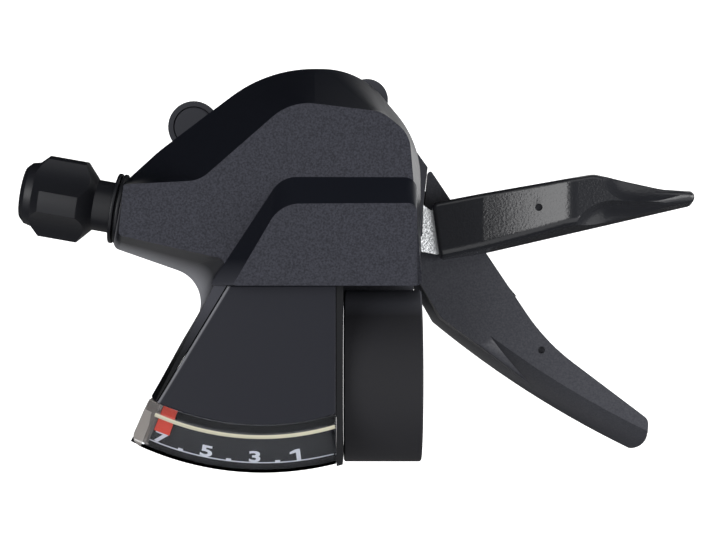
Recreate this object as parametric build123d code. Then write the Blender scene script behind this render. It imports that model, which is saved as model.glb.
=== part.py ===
from build123d import *

import os
from math import atan2, cos, degrees, hypot, radians, sin, tan

# Right-hand trigger gear shifter for seven speeds, in millimetres.
# The origin is the middle of the handlebar clamp: +X outboard along the bar, +Y forward, +Z up.

# General fits and walls
RUNNING_FIT = 0.05
AXIAL_PLAY = 0.1
SEAM = 0.08
WALL = 1.8
EDGE = 0.4

# Handlebar clamp
BAR_RADIUS = 11.1
CLAMP_WALL = 2.9
CLAMP_WIDTH = 12.6
CLAMP_CHAMFER = 0.25
CLAMP_SLIT = 2.0
EAR_WIDTH = 9.0
EAR_THICKNESS = 4.0
EAR_DROP = 9.0
BOLT_RADIUS = 2.0
BOLT_HEAD_RADIUS = 3.5
BOLT_HEAD_HEIGHT = 3.2
BOLT_SOCKET_RADIUS = 1.7
BOLT_SOCKET_DEPTH = 1.8
CLAMP_NUT_RADIUS = 4.0
CLAMP_NUT_HEIGHT = 3.0
CLAMP_RADIUS = BAR_RADIUS + CLAMP_WALL

# The body lies in front of the clamp: its plan is measured from the hood's rear wall
REAR_GAP = 0.9
BODY_Y = CLAMP_RADIUS + REAR_GAP

# Deck of the bracket
DECK_TOP = -5.0
DECK_THICKNESS = 2.4
DECK_BOTTOM = DECK_TOP - DECK_THICKNESS
WEB_DROP = 3.0
WEB_RIGHT = 5.2
CAP_LUG = (-31.3, BODY_Y + 26.2)
CAP_LUG_RADIUS = 4.3
CAP_RIM = 0.9
CAP_THICKNESS = 1.2
SCREW_LUG = (-2.5, BODY_Y + 30.7)
SCREW_LUG_RADIUS = 3.5

# Levels of the hood, set by the indicator's floor just over the bar
FLOOR_GAP = 0.4
FAN_FLOOR = BAR_RADIUS + FLOOR_GAP
BAND_Z = 6.0
SHOULDER_Z = FAN_FLOOR + 5.5
CREST_Z = SHOULDER_Z + 3.0

# Indicator behind the hood
FLOOR_THICKNESS = 0.7
PANEL_THICKNESS = 1.6
PANEL_TOP = SHOULDER_Z - 0.5
PANEL_BOTTOM = PANEL_TOP - PANEL_THICKNESS
CLAMP_GAP = 0.05
FAN_RIGHT = -(CLAMP_WIDTH / 2 + CLAMP_GAP)
SIDE_WALL = 1.0
NEEDLE_FORWARD = 17.4
FAN_LEFT_TOP = -24.4
CHAMBER_LEFT_TOP = -25.0
WINDOW_LEFT = -24.6
WINDOW_DEPTH = 6.2
LENS_OUTER = 47.0
LENS_WIDTH = 7.8
LENS_FLAT = 1.8
LENS_INNER = LENS_OUTER - LENS_WIDTH
LENS_RIDGE = LENS_INNER + LENS_FLAT
LENS_WALL = 1.1
LENS_END_WALL = 1.9
LENS_END_ANGLE = 26.5
LENS_END_ROUND = 1.8
LENS_RIDGE_Z = PANEL_TOP - 0.2
LENS_FOOT_Z = FAN_FLOOR + FLOOR_THICKNESS
FAN_END = NEEDLE_FORWARD - LENS_INNER + 2.2
FAN_LEFT_END = (-36.4, BODY_Y + FAN_END - 0.3)
DIAL_INNER = LENS_INNER + 1.6
DIAL_OUTER = LENS_OUTER - 0.8
DIAL_INNER_Z = FAN_FLOOR + FLOOR_THICKNESS
DIAL_OUTER_Z = FAN_FLOOR - 1.5
DIAL_THICKNESS = 0.6
RIM_Z = FAN_FLOOR - 2.8

# Needle
NEEDLE_AXIS = (-19.0, BODY_Y + NEEDLE_FORWARD)
NEEDLE_POST_RADIUS = 1.5
NEEDLE_HUB_RADIUS = 3.0
NEEDLE_THICKNESS = 0.8
NEEDLE_LIFT = 0.4
NEEDLE_WIDTH = 2.4
NEEDLE_REST_ANGLE = 21.4
NEEDLE_SWEEP = 28.2
NEEDLE_KNEE_RADIUS = LENS_INNER - 8.7
NEEDLE_KNEE_ANGLE = 12.5
NEEDLE_TIP_OUTER = DIAL_OUTER - 2.8
NEEDLE_TIP_WIDTH = 2.4
SLOT_PLAY = 0.15

# Main axle, the drum and the ratchet
PIVOT = (-7.2, BODY_Y + 15.7)
AXLE_RADIUS = 4.0
DRUM_AXLE_RADIUS = 3.0
CLIP_NECK_RADIUS = 2.0
CLIP_RADIUS = 3.5
CLIP_THICKNESS = 0.7
THREAD_RADIUS = 2.5
AXLE_NUT_RADIUS = 4.6
AXLE_NUT_HEIGHT = 3.0
CLICK = 17.5
GEAR_STEPS = 6
DRUM_SWEEP = CLICK * GEAR_STEPS
RATCHET_GAP = 0.4
RATCHET_THICKNESS = 1.8
TOOTH_TIP = 10.4
TOOTH_DEPTH = 1.6
FIRST_TOOTH = 30.0
TOOTH_COUNT = 12
CABLE_Z = 1.0
CABLE_RADIUS = 0.8
DRUM_PITCH_RADIUS = 9.5
DRUM_FLANGE_RADIUS = 11.2
DRUM_FLANGE = 1.2
DRUM_HUB_RADIUS = 6.4
DRUM_TOP = 9.8
NIPPLE_RADIUS = 1.9
DRIVE_PIN_RADIUS = 0.8
SPRING_WIRE = 0.9

# Pawls
FEED_ANGLE = 105.0
FEED_NOSE_ANGLE = 30.0
FEED_LIFT = 16.0
PAWL_EYE_RADIUS = 2.4
PAWL_GAP = 0.4
FEED_RADIUS = TOOTH_TIP + PAWL_EYE_RADIUS + PAWL_GAP
CATCH_RADIUS = FEED_RADIUS + 1.8
PAWL_PIN_RADIUS = 1.4
LEVER_STROKE = CLICK * 3
CATCH_ANGLE = 210.0
CATCH_NOSE_ANGLE = 30.0
CATCH_CLEARANCE = 0.2
CATCH_TAIL_ANGLE = 162.0
CATCH_TAIL_LENGTH = 10.5
TAB_REACH = 9.2
TAB_WIDTH = 1.8
TAIL_WIDTH = 4.4
TAB_PLAY = 0.4
TRIGGER_STROKE = 12.0

# Lever stack under the deck
TRIGGER_THICKNESS = 1.6
LEVER_THICKNESS = 2.0
LEVER_HUB_RADIUS = 7.5
SPACER_HEIGHT = 4.1
SPACER_RADIUS = 5.2
WASHER_THICKNESS = 0.7
LOWER_WALL = 1.5
LOWER_FLOOR_WALL = 1.6
POD_RADIUS = 13.6
POD_REACH = FEED_RADIUS + PAWL_EYE_RADIUS + 1.0 + LOWER_WALL
NOSE_PAN_DROP = 4.0

# Moulded finger arm of the trigger
TRIGGER_TOP_COVER = 1.5
TRIGGER_BOTTOM_COVER = 1.7
TRIGGER_ROOT_X = 9.2
TRIGGER_BEND_X = 16.7
TRIGGER_HOLLOW_X = 24.0
TRIGGER_CREST_X = 31.2
PAD_DROP = 0.9
SCOOP_START = 42.0
SCOOP_RADIUS = 9.0
FLANK_START = 38.5
FLANK_RADIUS = 8.0
TRIGGER_HOLLOW = 1.2
TRIGGER_RISE = 3.7
TRIGGER_LEAN = 11.0
TRIGGER_LEAN_OFFSET = 0.5
TRIGGER_REAR_ROUND = 1.6
TRIGGER_FRONT_ROUND = 0.8
TRIGGER_MIDDLE_Y = BODY_Y + 7.6
TRIGGER_MIDDLE_SLOPE = 0.125
TRIGGER_HOLE = (26.0, BODY_Y + 12.8)
MOULD_HOLE_RADIUS = 0.6
MOULD_HOLE_DEPTH = 1.0
TONGUE_END_X = 27.0

# Moulded thumb lever
LEVER_TOP_COVER = 1.2
LEVER_BOTTOM_COVER = 1.5
PADDLE_DROP = 11.5
PADDLE_WIDTH = 4.2
PADDLE_THICKNESS = 2.8
LEAF_DEPTH = 36.0
LEVER_HOLE = (27.2, BODY_Y - 11.2)

# Barrel adjuster
ADJUSTER_TILT = 10.0
SEAT_RADIUS = 5.75
SEAT_DISC = 0.6
SEAT_GROOVE = 0.3
SEAT_SLEEVE_RADIUS = 4.3
SEAT_SLEEVE_DEPTH = 9.0
BARREL_RADIUS = 3.0
NECK_RADIUS = 4.15
NECK_LENGTH = 2.9
KNOB_RADIUS = 6.65
KNOB_LENGTH = 11.9
KNOB_END_RADIUS = 5.0
KNOB_LOBES = 4
KNOB_SCALLOP_RADIUS = 12.0
KNOB_SCALLOP_DEPTH = 1.36
KNOB_TURN = 80.0
FERRULE_RADIUS = 2.5
FERRULE_DEPTH = 9.0
CABLE_BORE_RADIUS = 1.0

# Levels worked out from the stack
RATCHET_BOTTOM = DECK_TOP + RATCHET_GAP
RATCHET_TOP = RATCHET_BOTTOM + RATCHET_THICKNESS
TRIGGER_TOP = DECK_BOTTOM - 3 * AXIAL_PLAY
TRIGGER_BOTTOM = TRIGGER_TOP - TRIGGER_THICKNESS
SPACER_TOP = TRIGGER_BOTTOM - AXIAL_PLAY
SPACER_BOTTOM = SPACER_TOP - SPACER_HEIGHT
LEVER_TOP = SPACER_BOTTOM - AXIAL_PLAY
LEVER_BOTTOM = LEVER_TOP - LEVER_THICKNESS
WASHER_TOP = LEVER_BOTTOM - AXIAL_PLAY
WASHER_BOTTOM = WASHER_TOP - WASHER_THICKNESS
LOWER_BOTTOM = WASHER_BOTTOM - LOWER_FLOOR_WALL
NEEDLE_BOTTOM = FAN_FLOOR + FLOOR_THICKNESS + NEEDLE_LIFT
NEEDLE_TOP = NEEDLE_BOTTOM + NEEDLE_THICKNESS

# Hood plan as (x, distance in front of the rear wall, corner radius), clockwise from the nose
HOOD_BASE = [
    (-41.6, 16.4, 0.6),
    (-36.0, 21.5, 20.0),
    (-18.4, 34.8, 22.0),
    (-3.8, 34.7, 12.5),
    (6.0, 22.9, 16.0),
    (6.2, 0.0, 0.8),
]
HOOD_SHOULDER = [
    (-40.4, 15.7, 0.4),
    (-28.6, 16.3, 5.0),
    (-14.4, 28.7, 8.5),
    (-0.3, 27.0, 5.0),
    (4.0, 23.5, 5.0),
    (6.0, 0.0, 0.8),
]
NOSE_WIDTH = 10.4
NOSE_BACK = HOOD_BASE[0][0] - NOSE_WIDTH * tan(radians(ADJUSTER_TILT))
NOSE_BASE = (NOSE_BACK, HOOD_BASE[0][1] - NOSE_WIDTH, 1.2)
NOSE_SHOULDER = (-41.2, 7.8, 0.8)
FAN_BASE = [(FAN_RIGHT, 0.0, 0.2), (FAN_RIGHT, FAN_END, 0.2), (-39.3, FAN_END, 0.2), (-26.3, 0.0, 5.5)]
FAN_TOP_END = FAN_END + 0.6
FAN_SHOULDER = [
    (FAN_RIGHT, 0.0, 0.2),
    (FAN_RIGHT, FAN_TOP_END, 0.2),
    (-36.0, FAN_TOP_END, 0.2),
    (-24.3, 4.0, 1.0),
]
REAR_BASE = (-27.0, 0.0, 1.0)
REAR_SHOULDER = (-14.0, 0.0, 1.0)
TIER_LOW = [(5.2, 16.8, 2.0), (5.2, 0.0, 0.3), (-27.0, 0.0, 0.3), (-15.9, 16.85, 4.4)]
TIER_HIGH = [(5.1, 12.7, 1.4), (5.1, 0.0, 0.3), (-23.3, 0.0, 0.3), (-15.9, 12.6, 5.2)]

# Right-hand bulge of the deck and the lever plans
DECK_BULGE = [(3.0, 23.5), (5.8, 22.0), (7.6, 19.5), (6.9, 13.5), (6.7, 8.0), (3.0, 8.0)]
LEVER_PLAN = [
    (8.0, 19.9, 0.4),
    (27.9, -9.8, 35.0),
    (45.4, -23.0, 1.6),
    (45.0, -30.6, 3.2),
    (24.0, -21.5, 4.0),
    (9.2, -7.0, 2.2),
    (5.4, -0.4, 1.5),
    (7.2, 12.0, 6.0),
]
LEVER_ROOT_FOOT = [
    (7.6, 8.0, 0.4),
    (18.0, 0.0, 2.0),
    (29.6, -15.3, 2.0),
    (27.5, -18.6, 1.5),
    (9.9, -6.0, 4.0),
    (6.0, 0.3, 1.0),
]
LEVER_ROOT = [
    (7.6, 8.0, 0.4),
    (18.0, 0.0, 2.0),
    (19.1, -7.6, 2.0),
    (17.1, -10.9, 1.5),
    (10.1, -5.7, 4.0),
    (6.2, 0.6, 1.0),
]
TRIGGER_PLAN = [
    (8.3, 13.6, 1.0),
    (16.7, 15.2, 10.0),
    (35.0, 18.3, 4.0),
    (46.5, 15.75, 10.0),
    (51.9, 15.5, 1.0),
    (52.2, 13.2, 1.0),
    (18.0, 5.3, 20.0),
    (9.7, 4.0, 1.0),
]
PADDLE_ENDS = [(8.9, -6.6), (25.6, -18.8), (42.2, -28.2)]


def rounded(corners):
    """Closed face of straight runs with a round at each corner."""
    joins = []
    for index, (x, y, radius) in enumerate(corners):
        here = Vector(x, y)
        after = corners[(index + 1) % len(corners)]
        back = (Vector(*corners[index - 1][:2]) - here).normalized()
        ahead = (Vector(*after[:2]) - here).normalized()
        half = radians(back.get_angle(ahead)) / 2
        reach = radius / tan(half)
        middle = here + (back + ahead).normalized() * (radius / sin(half) - radius)
        joins.append((here + back * reach, middle, here + ahead * reach))
    edges = []
    for index, (start, middle, end) in enumerate(joins):
        edges.append(ThreePointArc(start, middle, end))
        edges.append(Line(end, joins[(index + 1) % len(joins)][0]))
    return make_face(edges)


def inset(corners, wall):
    """The same clockwise outline moved inwards by a wall."""
    moved = []
    for index, (x, y, radius) in enumerate(corners):
        here = Vector(x, y)
        after = corners[(index + 1) % len(corners)]
        come = (here - Vector(*corners[index - 1][:2])).normalized()
        go = (Vector(*after[:2]) - here).normalized()
        come_in = Vector(come.Y, -come.X)
        go_in = Vector(go.Y, -go.X)
        corner = here + (come_in + go_in) * (wall / (1 + come_in.dot(go_in)))
        outside = come.X * go.Y - come.Y * go.X < 0
        bend = max(radius - wall, EDGE) if outside else radius + wall
        moved.append((corner.X, corner.Y, bend))
    return moved


def body_plan(corners):
    """Plan corners measured from the rear wall, in the part's frame."""
    return [(x, BODY_Y + y, radius) for x, y, radius in corners]


def prism(face, low, high):
    """Upright prism of a plan face between two levels."""
    return extrude(Pos(0, 0, low) * face, amount=high - low)


def frustum(low_corners, low, high_corners, high):
    """Ruled body between two outlines with matching corners."""
    sections = [Pos(0, 0, low) * rounded(low_corners), Pos(0, 0, high) * rounded(high_corners)]
    return loft(sections, ruled=True)


def disc(centre, radius, low, high):
    """Upright cylinder between two levels."""
    return prism(Pos(*centre) * Circle(radius), low, high)


def polar(centre, radius, angle):
    """Point at a radius and an angle round a centre."""
    return (centre[0] + radius * cos(radians(angle)), centre[1] + radius * sin(radians(angle)))


def fan_sector(profile, first_angle, last_angle, centre=NEEDLE_AXIS):
    """Profile of radius and height turned round an upright axis between two angles."""
    out = Vector(cos(radians(first_angle)), sin(radians(first_angle)), 0)
    plane = Plane(origin=(centre[0], centre[1], 0), x_dir=out, z_dir=(out.Y, -out.X, 0))
    face = plane * make_face(Polyline(*profile, close=True))
    return revolve(face, Axis((centre[0], centre[1], 0), (0, 0, 1)), last_angle - first_angle)


def pie(centre, radius, first_angle, last_angle, low, high):
    """Upright slice of a disc between two angles."""
    return fan_sector(upright(0, radius, low, high), first_angle, last_angle, centre)


def upright(inner, outer, low, high):
    """Rectangular profile of radius and height."""
    return [(inner, low), (outer, low), (outer, high), (inner, high)]


def arc_slot(centre, radius, width, first_angle, last_angle, low, high):
    """Curved slot of constant width with square ends."""
    profile = upright(radius - width / 2, radius + width / 2, low, high)
    return fan_sector(profile, first_angle, last_angle, centre)


def coil(centre, radius, low, high, turns):
    """Round wire wound as an upright helix between two levels."""
    height = high - low - SPRING_WIRE
    path = Helix(height / turns, height, radius, center=(centre[0], centre[1], low + SPRING_WIRE / 2))
    section = Plane(origin=path @ 0, z_dir=path % 0) * Circle(SPRING_WIRE / 2)
    return sweep(section, path)


def adjuster_plane():
    """Working plane on the nose face, looking outwards along the adjuster."""
    out = Vector(-cos(radians(ADJUSTER_TILT)), sin(radians(ADJUSTER_TILT)), 0)
    tangent = Vector(PIVOT[0], PIVOT[1], 0) + Vector(-out.Y, out.X, 0) * DRUM_PITCH_RADIUS
    face = body_plan([NOSE_BASE])[0]
    reach = (Vector(face[0], face[1], 0) - tangent).dot(out)
    start = tangent + out * reach
    return Plane(origin=(start.X, start.Y, CABLE_Z), x_dir=(0, 0, 1), z_dir=out)


def turned(profile, plane):
    """Solid of revolution about the plane's normal, from radius and distance along it."""
    face = Plane.XZ * make_face(Polyline(*profile, close=True))
    return plane * revolve(face, Axis.Z)


def drive_pin_radius():
    """Radius of the drive pin that gives the needle its sweep over the drum's turn."""
    span = hypot(PIVOT[0] - NEEDLE_AXIS[0], PIVOT[1] - NEEDLE_AXIS[1])
    half = tan(radians(NEEDLE_SWEEP / 2))
    return span * half / (sin(radians(DRUM_SWEEP / 2)) - half * cos(radians(DRUM_SWEEP / 2)))


def needle_line_angle():
    """Direction from the needle's axis to the main pivot."""
    return degrees(atan2(PIVOT[1] - NEEDLE_AXIS[1], PIVOT[0] - NEEDLE_AXIS[0]))


DRIVE_RADIUS = drive_pin_radius()
DRIVE_REST = needle_line_angle() - DRUM_SWEEP / 2
ADJUSTER = adjuster_plane()
HOOD_PLAN = body_plan(HOOD_BASE + [REAR_BASE, NOSE_BASE])
FULL_BASE = body_plan(HOOD_BASE + FAN_BASE + [NOSE_BASE])
FULL_SHOULDER = body_plan(HOOD_SHOULDER + FAN_SHOULDER + [NOSE_SHOULDER])
INNER_BASE = inset(HOOD_PLAN, WALL)
INNER_SHOULDER = inset(body_plan(HOOD_SHOULDER + [REAR_SHOULDER, NOSE_SHOULDER]), WALL)
REACH = 200.0
FEED_PIN = polar(PIVOT, FEED_RADIUS, FEED_ANGLE)
CATCH_PIN = polar(PIVOT, CATCH_RADIUS, CATCH_ANGLE)
TAB_TOP = RATCHET_TOP
TAB_CONTACT = polar(CATCH_PIN, TAB_REACH, CATCH_TAIL_ANGLE)
TRAY_BOSSES = [(-10.5, BODY_Y + 4.0), (-25.3, BODY_Y + 12.2)]
BOSS_RADIUS = 2.0
TRAY_SCREW_RADIUS = 0.9
SCREW_HEAD_RADIUS = 1.7
SCREW_HEAD_HEIGHT = 1.0
COVER_SCREWS = [SCREW_LUG, (-22.5, BODY_Y + 3.3), (-24.0, BODY_Y + 27.2)]
COVER_SCREW_RADIUS = 1.1
COVER_BOSS_RADIUS = 2.4


def panel_plan(left_top, clearance):
    """Plan of the fan, from the hood's rear wall to the lens."""
    top = BODY_Y - clearance
    end_x, end_y = FAN_LEFT_END
    slope = (end_x - left_top) / (end_y - BODY_Y)
    left = left_top + clearance
    right = FAN_RIGHT - SIDE_WALL - clearance
    rear = NEEDLE_AXIS[1] - LENS_OUTER - 1
    corners = [(left, top), (right, top), (right, rear), (left + slope * (rear - BODY_Y), rear)]
    return make_face(Polyline(*corners, close=True))


def clamp_bracket():
    """Clamp ring, arm and deck, cast as one piece."""
    ring = Cylinder(CLAMP_RADIUS, CLAMP_WIDTH, rotation=(0, 90, 0))
    ring = chamfer(ring.edges().filter_by(GeomType.CIRCLE), CLAMP_CHAMFER)
    ear_span = CLAMP_SLIT + 2 * EAR_THICKNESS
    ear_top = -(BAR_RADIUS + CLAMP_WALL / 3)
    ear_bottom = -(CLAMP_RADIUS + EAR_DROP)
    ears = Pos(0, 0, (ear_top + ear_bottom) / 2) * Box(EAR_WIDTH, ear_span, ear_top - ear_bottom)
    low_corners = ears.edges().filter_by(Axis.Y).group_by(Axis.Z)[0]
    ears = fillet(low_corners, EAR_WIDTH / 3)
    web_back = BAR_RADIUS + CLAMP_WALL / 3
    web_front = BODY_Y + WALL
    web_left = FAN_RIGHT - SIDE_WALL
    web = Pos((web_left + WEB_RIGHT) / 2, (web_back + web_front) / 2, DECK_TOP)
    web = web * Box(
        WEB_RIGHT - web_left,
        web_front - web_back,
        DECK_THICKNESS + WEB_DROP,
        align=(Align.CENTER, Align.CENTER, Align.MAX),
    )
    deck = prism(rounded(HOOD_PLAN), DECK_BOTTOM, DECK_TOP)
    bulge = make_face(Polyline(*[(x, BODY_Y + y) for x, y in DECK_BULGE], close=True))
    deck += prism(bulge, DECK_BOTTOM, DECK_TOP)
    deck += disc(CAP_LUG, CAP_LUG_RADIUS, DECK_BOTTOM, DECK_TOP)
    deck += disc(SCREW_LUG, SCREW_LUG_RADIUS, DECK_BOTTOM, DECK_TOP)
    deck -= disc(CAP_LUG, CAP_LUG_RADIUS - CAP_RIM, DECK_TOP - CAP_THICKNESS, DECK_TOP + 1)
    deck -= disc(PIVOT, AXLE_RADIUS, DECK_BOTTOM - 1, DECK_TOP + 1)
    deck -= disc(CATCH_PIN, PAWL_PIN_RADIUS, DECK_BOTTOM - 1, DECK_TOP + 1)
    for place in COVER_SCREWS:
        deck -= disc(place, COVER_SCREW_RADIUS + RUNNING_FIT, DECK_BOTTOM - 1, DECK_TOP + 1)
        head_top = DECK_BOTTOM + SCREW_HEAD_HEIGHT
        deck -= disc(place, SCREW_HEAD_RADIUS + RUNNING_FIT, DECK_BOTTOM - 1, head_top)
    margin = degrees((PAWL_EYE_RADIUS + EDGE) / FEED_RADIUS)
    feed_slot = arc_slot(
        PIVOT,
        FEED_RADIUS,
        2 * (PAWL_EYE_RADIUS + EDGE),
        FEED_ANGLE - margin,
        FEED_ANGLE + LEVER_STROKE + margin,
        DECK_BOTTOM - 1,
        DECK_TOP + 1,
    )
    tab_angle, tab_radius = tab_place()
    tab_margin = degrees((TAB_WIDTH / 2 + 2 * EDGE) / tab_radius)
    tab_slot = arc_slot(
        PIVOT,
        tab_radius,
        TAB_WIDTH + 2 * EDGE,
        tab_angle - TRIGGER_STROKE - tab_margin,
        tab_angle + tab_margin,
        DECK_BOTTOM - 1,
        DECK_TOP + 1,
    )
    body = ring + ears + web + deck - feed_slot - tab_slot
    body -= Cylinder(BAR_RADIUS, CLAMP_WIDTH * 2, rotation=(0, 90, 0))
    body -= Pos(0, 0, -CLAMP_RADIUS) * Box(CLAMP_WIDTH * 2, CLAMP_SLIT, 2 * (EAR_DROP + CLAMP_WALL))
    bolt_hole = Pos(0, 0, bolt_height()) * Cylinder(BOLT_RADIUS, ear_span * 2, rotation=(90, 0, 0))
    return body - bolt_hole


def bolt_height():
    """Level of the clamp bolt's axis."""
    return -(CLAMP_RADIUS + EAR_DROP / 2)


def tab_place():
    """Angle and radius round the pivot of the trigger's lifting tab."""
    tail = radians(CATCH_TAIL_ANGLE)
    away = TAB_PLAY + TAB_WIDTH / 2 + PAWL_PIN_RADIUS
    x = TAB_CONTACT[0] + sin(tail) * -away
    y = TAB_CONTACT[1] + cos(tail) * away
    angle = degrees(atan2(y - PIVOT[1], x - PIVOT[0])) % 360
    return angle, hypot(x - PIVOT[0], y - PIVOT[1])


def clamp_bolt():
    """Socket-head bolt across the clamp's ears."""
    ear_span = CLAMP_SLIT + 2 * EAR_THICKNESS
    length = ear_span + CLAMP_NUT_HEIGHT
    plane = Plane(origin=(0, -ear_span / 2, bolt_height()), z_dir=(0, 1, 0))
    shank = extrude(plane * Circle(BOLT_RADIUS), amount=length)
    head = extrude(plane * Circle(BOLT_HEAD_RADIUS), amount=-BOLT_HEAD_HEIGHT)
    head = fillet(head.edges().group_by(Axis.Y)[0], EDGE)
    top = plane.offset(-BOLT_HEAD_HEIGHT)
    socket = extrude(top * RegularPolygon(BOLT_SOCKET_RADIUS, 6), amount=BOLT_SOCKET_DEPTH)
    return shank + head - socket


def clamp_nut():
    """Hexagon nut on the far ear."""
    ear_span = CLAMP_SLIT + 2 * EAR_THICKNESS
    plane = Plane(origin=(0, ear_span / 2, bolt_height()), z_dir=(0, 1, 0))
    nut = extrude(plane * RegularPolygon(CLAMP_NUT_RADIUS, 6), amount=CLAMP_NUT_HEIGHT)
    return nut - extrude(plane * Circle(BOLT_RADIUS), amount=CLAMP_NUT_HEIGHT)


def cable_cap():
    """Round cap in the deck's front lug."""
    radius = CAP_LUG_RADIUS - CAP_RIM - RUNNING_FIT
    cap = disc(CAP_LUG, radius, DECK_TOP - CAP_THICKNESS, DECK_TOP - EDGE / 2)
    return chamfer(cap.faces().sort_by(Axis.Z)[-1].edges(), EDGE / 2)


def top_cover():
    """Moulded hood with its nose, two stepped faces and the wall beside the indicator."""
    outer = prism(rounded(FULL_BASE), DECK_TOP, BAND_Z)
    outer += frustum(FULL_BASE, BAND_Z, FULL_SHOULDER, SHOULDER_Z)
    outer += frustum(body_plan(TIER_LOW), SHOULDER_Z, body_plan(TIER_HIGH), CREST_Z)
    inner = prism(rounded(INNER_BASE), DECK_TOP - 1, BAND_Z)
    inner += frustum(INNER_BASE, BAND_Z, INNER_SHOULDER, SHOULDER_Z - WALL)
    tier_low = inset(body_plan(TIER_LOW), WALL)
    tier_high = inset(body_plan(TIER_HIGH), WALL)
    inner += frustum(tier_low, SHOULDER_Z - WALL, tier_high, CREST_Z - WALL)
    below = Box(REACH, REACH, REACH, align=(Align.MIN, Align.MAX, Align.MAX))
    under_fan = Pos(CHAMBER_LEFT_TOP, BODY_Y, FAN_FLOOR) * below
    under_fan += Pos(-REACH / 2, 0, FAN_FLOOR) * below
    under_fan += Pos(-REACH / 2, FAN_FLOOR, 0) * below
    under_fan += Cylinder(FAN_FLOOR, REACH, rotation=(0, 90, 0))
    opening = prism(panel_plan(FAN_LEFT_TOP, 0), PANEL_BOTTOM, REACH)
    opening += prism(panel_plan(CHAMBER_LEFT_TOP, 0), FAN_FLOOR - 1, PANEL_BOTTOM)
    right_wall = Pos(FAN_RIGHT - SIDE_WALL, BODY_Y, FAN_FLOOR)
    opening += right_wall * Box(SIDE_WALL * 3, REACH, REACH, align=(Align.MIN, Align.MAX, Align.MIN))
    window_width = TRAY_BOSSES[0][0] + BOSS_RADIUS - WINDOW_LEFT
    window = Pos(WINDOW_LEFT, BODY_Y - 1, FAN_FLOOR)
    opening += window * Box(
        window_width,
        WINDOW_DEPTH + 1,
        PANEL_BOTTOM - FAN_FLOOR,
        align=(Align.MIN, Align.MIN, Align.MIN),
    )
    cover = outer - inner - under_fan - opening
    past_lens = disc(NEEDLE_AXIS, REACH, FAN_FLOOR - 1, REACH)
    past_lens -= disc(NEEDLE_AXIS, LENS_INNER - SEAM, FAN_FLOOR - 2, REACH)
    cover -= past_lens
    sleeve = extrude(ADJUSTER * Circle(SEAT_SLEEVE_RADIUS), amount=-SEAT_SLEEVE_DEPTH)
    cover -= sleeve
    for x, y in TRAY_BOSSES:
        boss = disc((x, y), BOSS_RADIUS, FAN_FLOOR + FLOOR_THICKNESS, CREST_Z) & outer
        cover += boss - disc((x, y), TRAY_SCREW_RADIUS, FAN_FLOOR, SHOULDER_Z - WALL)
    for place in COVER_SCREWS:
        boss = disc(place, COVER_BOSS_RADIUS, DECK_TOP, BAND_Z) & prism(rounded(HOOD_PLAN), DECK_TOP, BAND_Z)
        cover += boss
        cover -= disc(place, COVER_SCREW_RADIUS, DECK_TOP - 1, BAND_Z - WALL)
    return cover


def indicator_panel():
    """Smooth lid between the hood's rear wall and the lens."""
    lid = prism(panel_plan(FAN_LEFT_TOP, SEAM), PANEL_BOTTOM, PANEL_TOP)
    lid &= disc(NEEDLE_AXIS, LENS_INNER - SEAM, PANEL_BOTTOM - 1, PANEL_TOP + 1)
    return fillet(lid.faces().sort_by(Axis.Z)[-1].edges(), EDGE / 2)


def left_of_wall(clearance):
    """Half space to the left of the indicator's right side wall."""
    right = FAN_RIGHT - SIDE_WALL - clearance
    return Pos(right, 0, 0) * Box(REACH, REACH * 2, REACH, align=(Align.MAX, Align.CENTER, Align.CENTER))


def indicator_lens():
    """Clear window strip, roof shaped, with a closed left end."""
    foot = LENS_FOOT_Z - LENS_WALL
    outside = [(LENS_INNER, LENS_RIDGE_Z), (LENS_RIDGE, LENS_RIDGE_Z), (LENS_OUTER, LENS_FOOT_Z)]
    shell = outside + [
        (LENS_OUTER, foot),
        (LENS_OUTER - LENS_WALL, foot),
        (LENS_RIDGE - LENS_WALL / 2, LENS_RIDGE_Z - LENS_WALL),
        (LENS_INNER, LENS_RIDGE_Z - LENS_WALL),
    ]
    left = -90 - LENS_END_ANGLE
    end_angle = degrees(LENS_END_WALL / LENS_RIDGE)
    end = outside + [(LENS_OUTER, foot), (LENS_INNER, FAN_FLOOR + FLOOR_THICKNESS)]
    strip = fan_sector(shell, left, -90 + LENS_END_ANGLE)
    strip += fan_sector(end, left, left + end_angle)
    strip &= left_of_wall(SEAM)
    corner = (*polar(NEEDLE_AXIS, LENS_OUTER, left), LENS_FOOT_Z)
    return fillet(strip.edges().filter_by(Axis.Z).sort_by_distance(corner)[0], LENS_END_ROUND)


def indicator_dial():
    """Sloping dial under the lens."""
    profile = [
        (DIAL_INNER, DIAL_INNER_Z),
        (DIAL_OUTER, DIAL_OUTER_Z),
        (DIAL_OUTER, DIAL_OUTER_Z - DIAL_THICKNESS),
        (DIAL_INNER, DIAL_INNER_Z - DIAL_THICKNESS),
    ]
    left = -90 - LENS_END_ANGLE + degrees((LENS_END_WALL + SEAM) / DIAL_INNER)
    return fan_sector(profile, left, -90 + LENS_END_ANGLE) & left_of_wall(SEAM)


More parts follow.
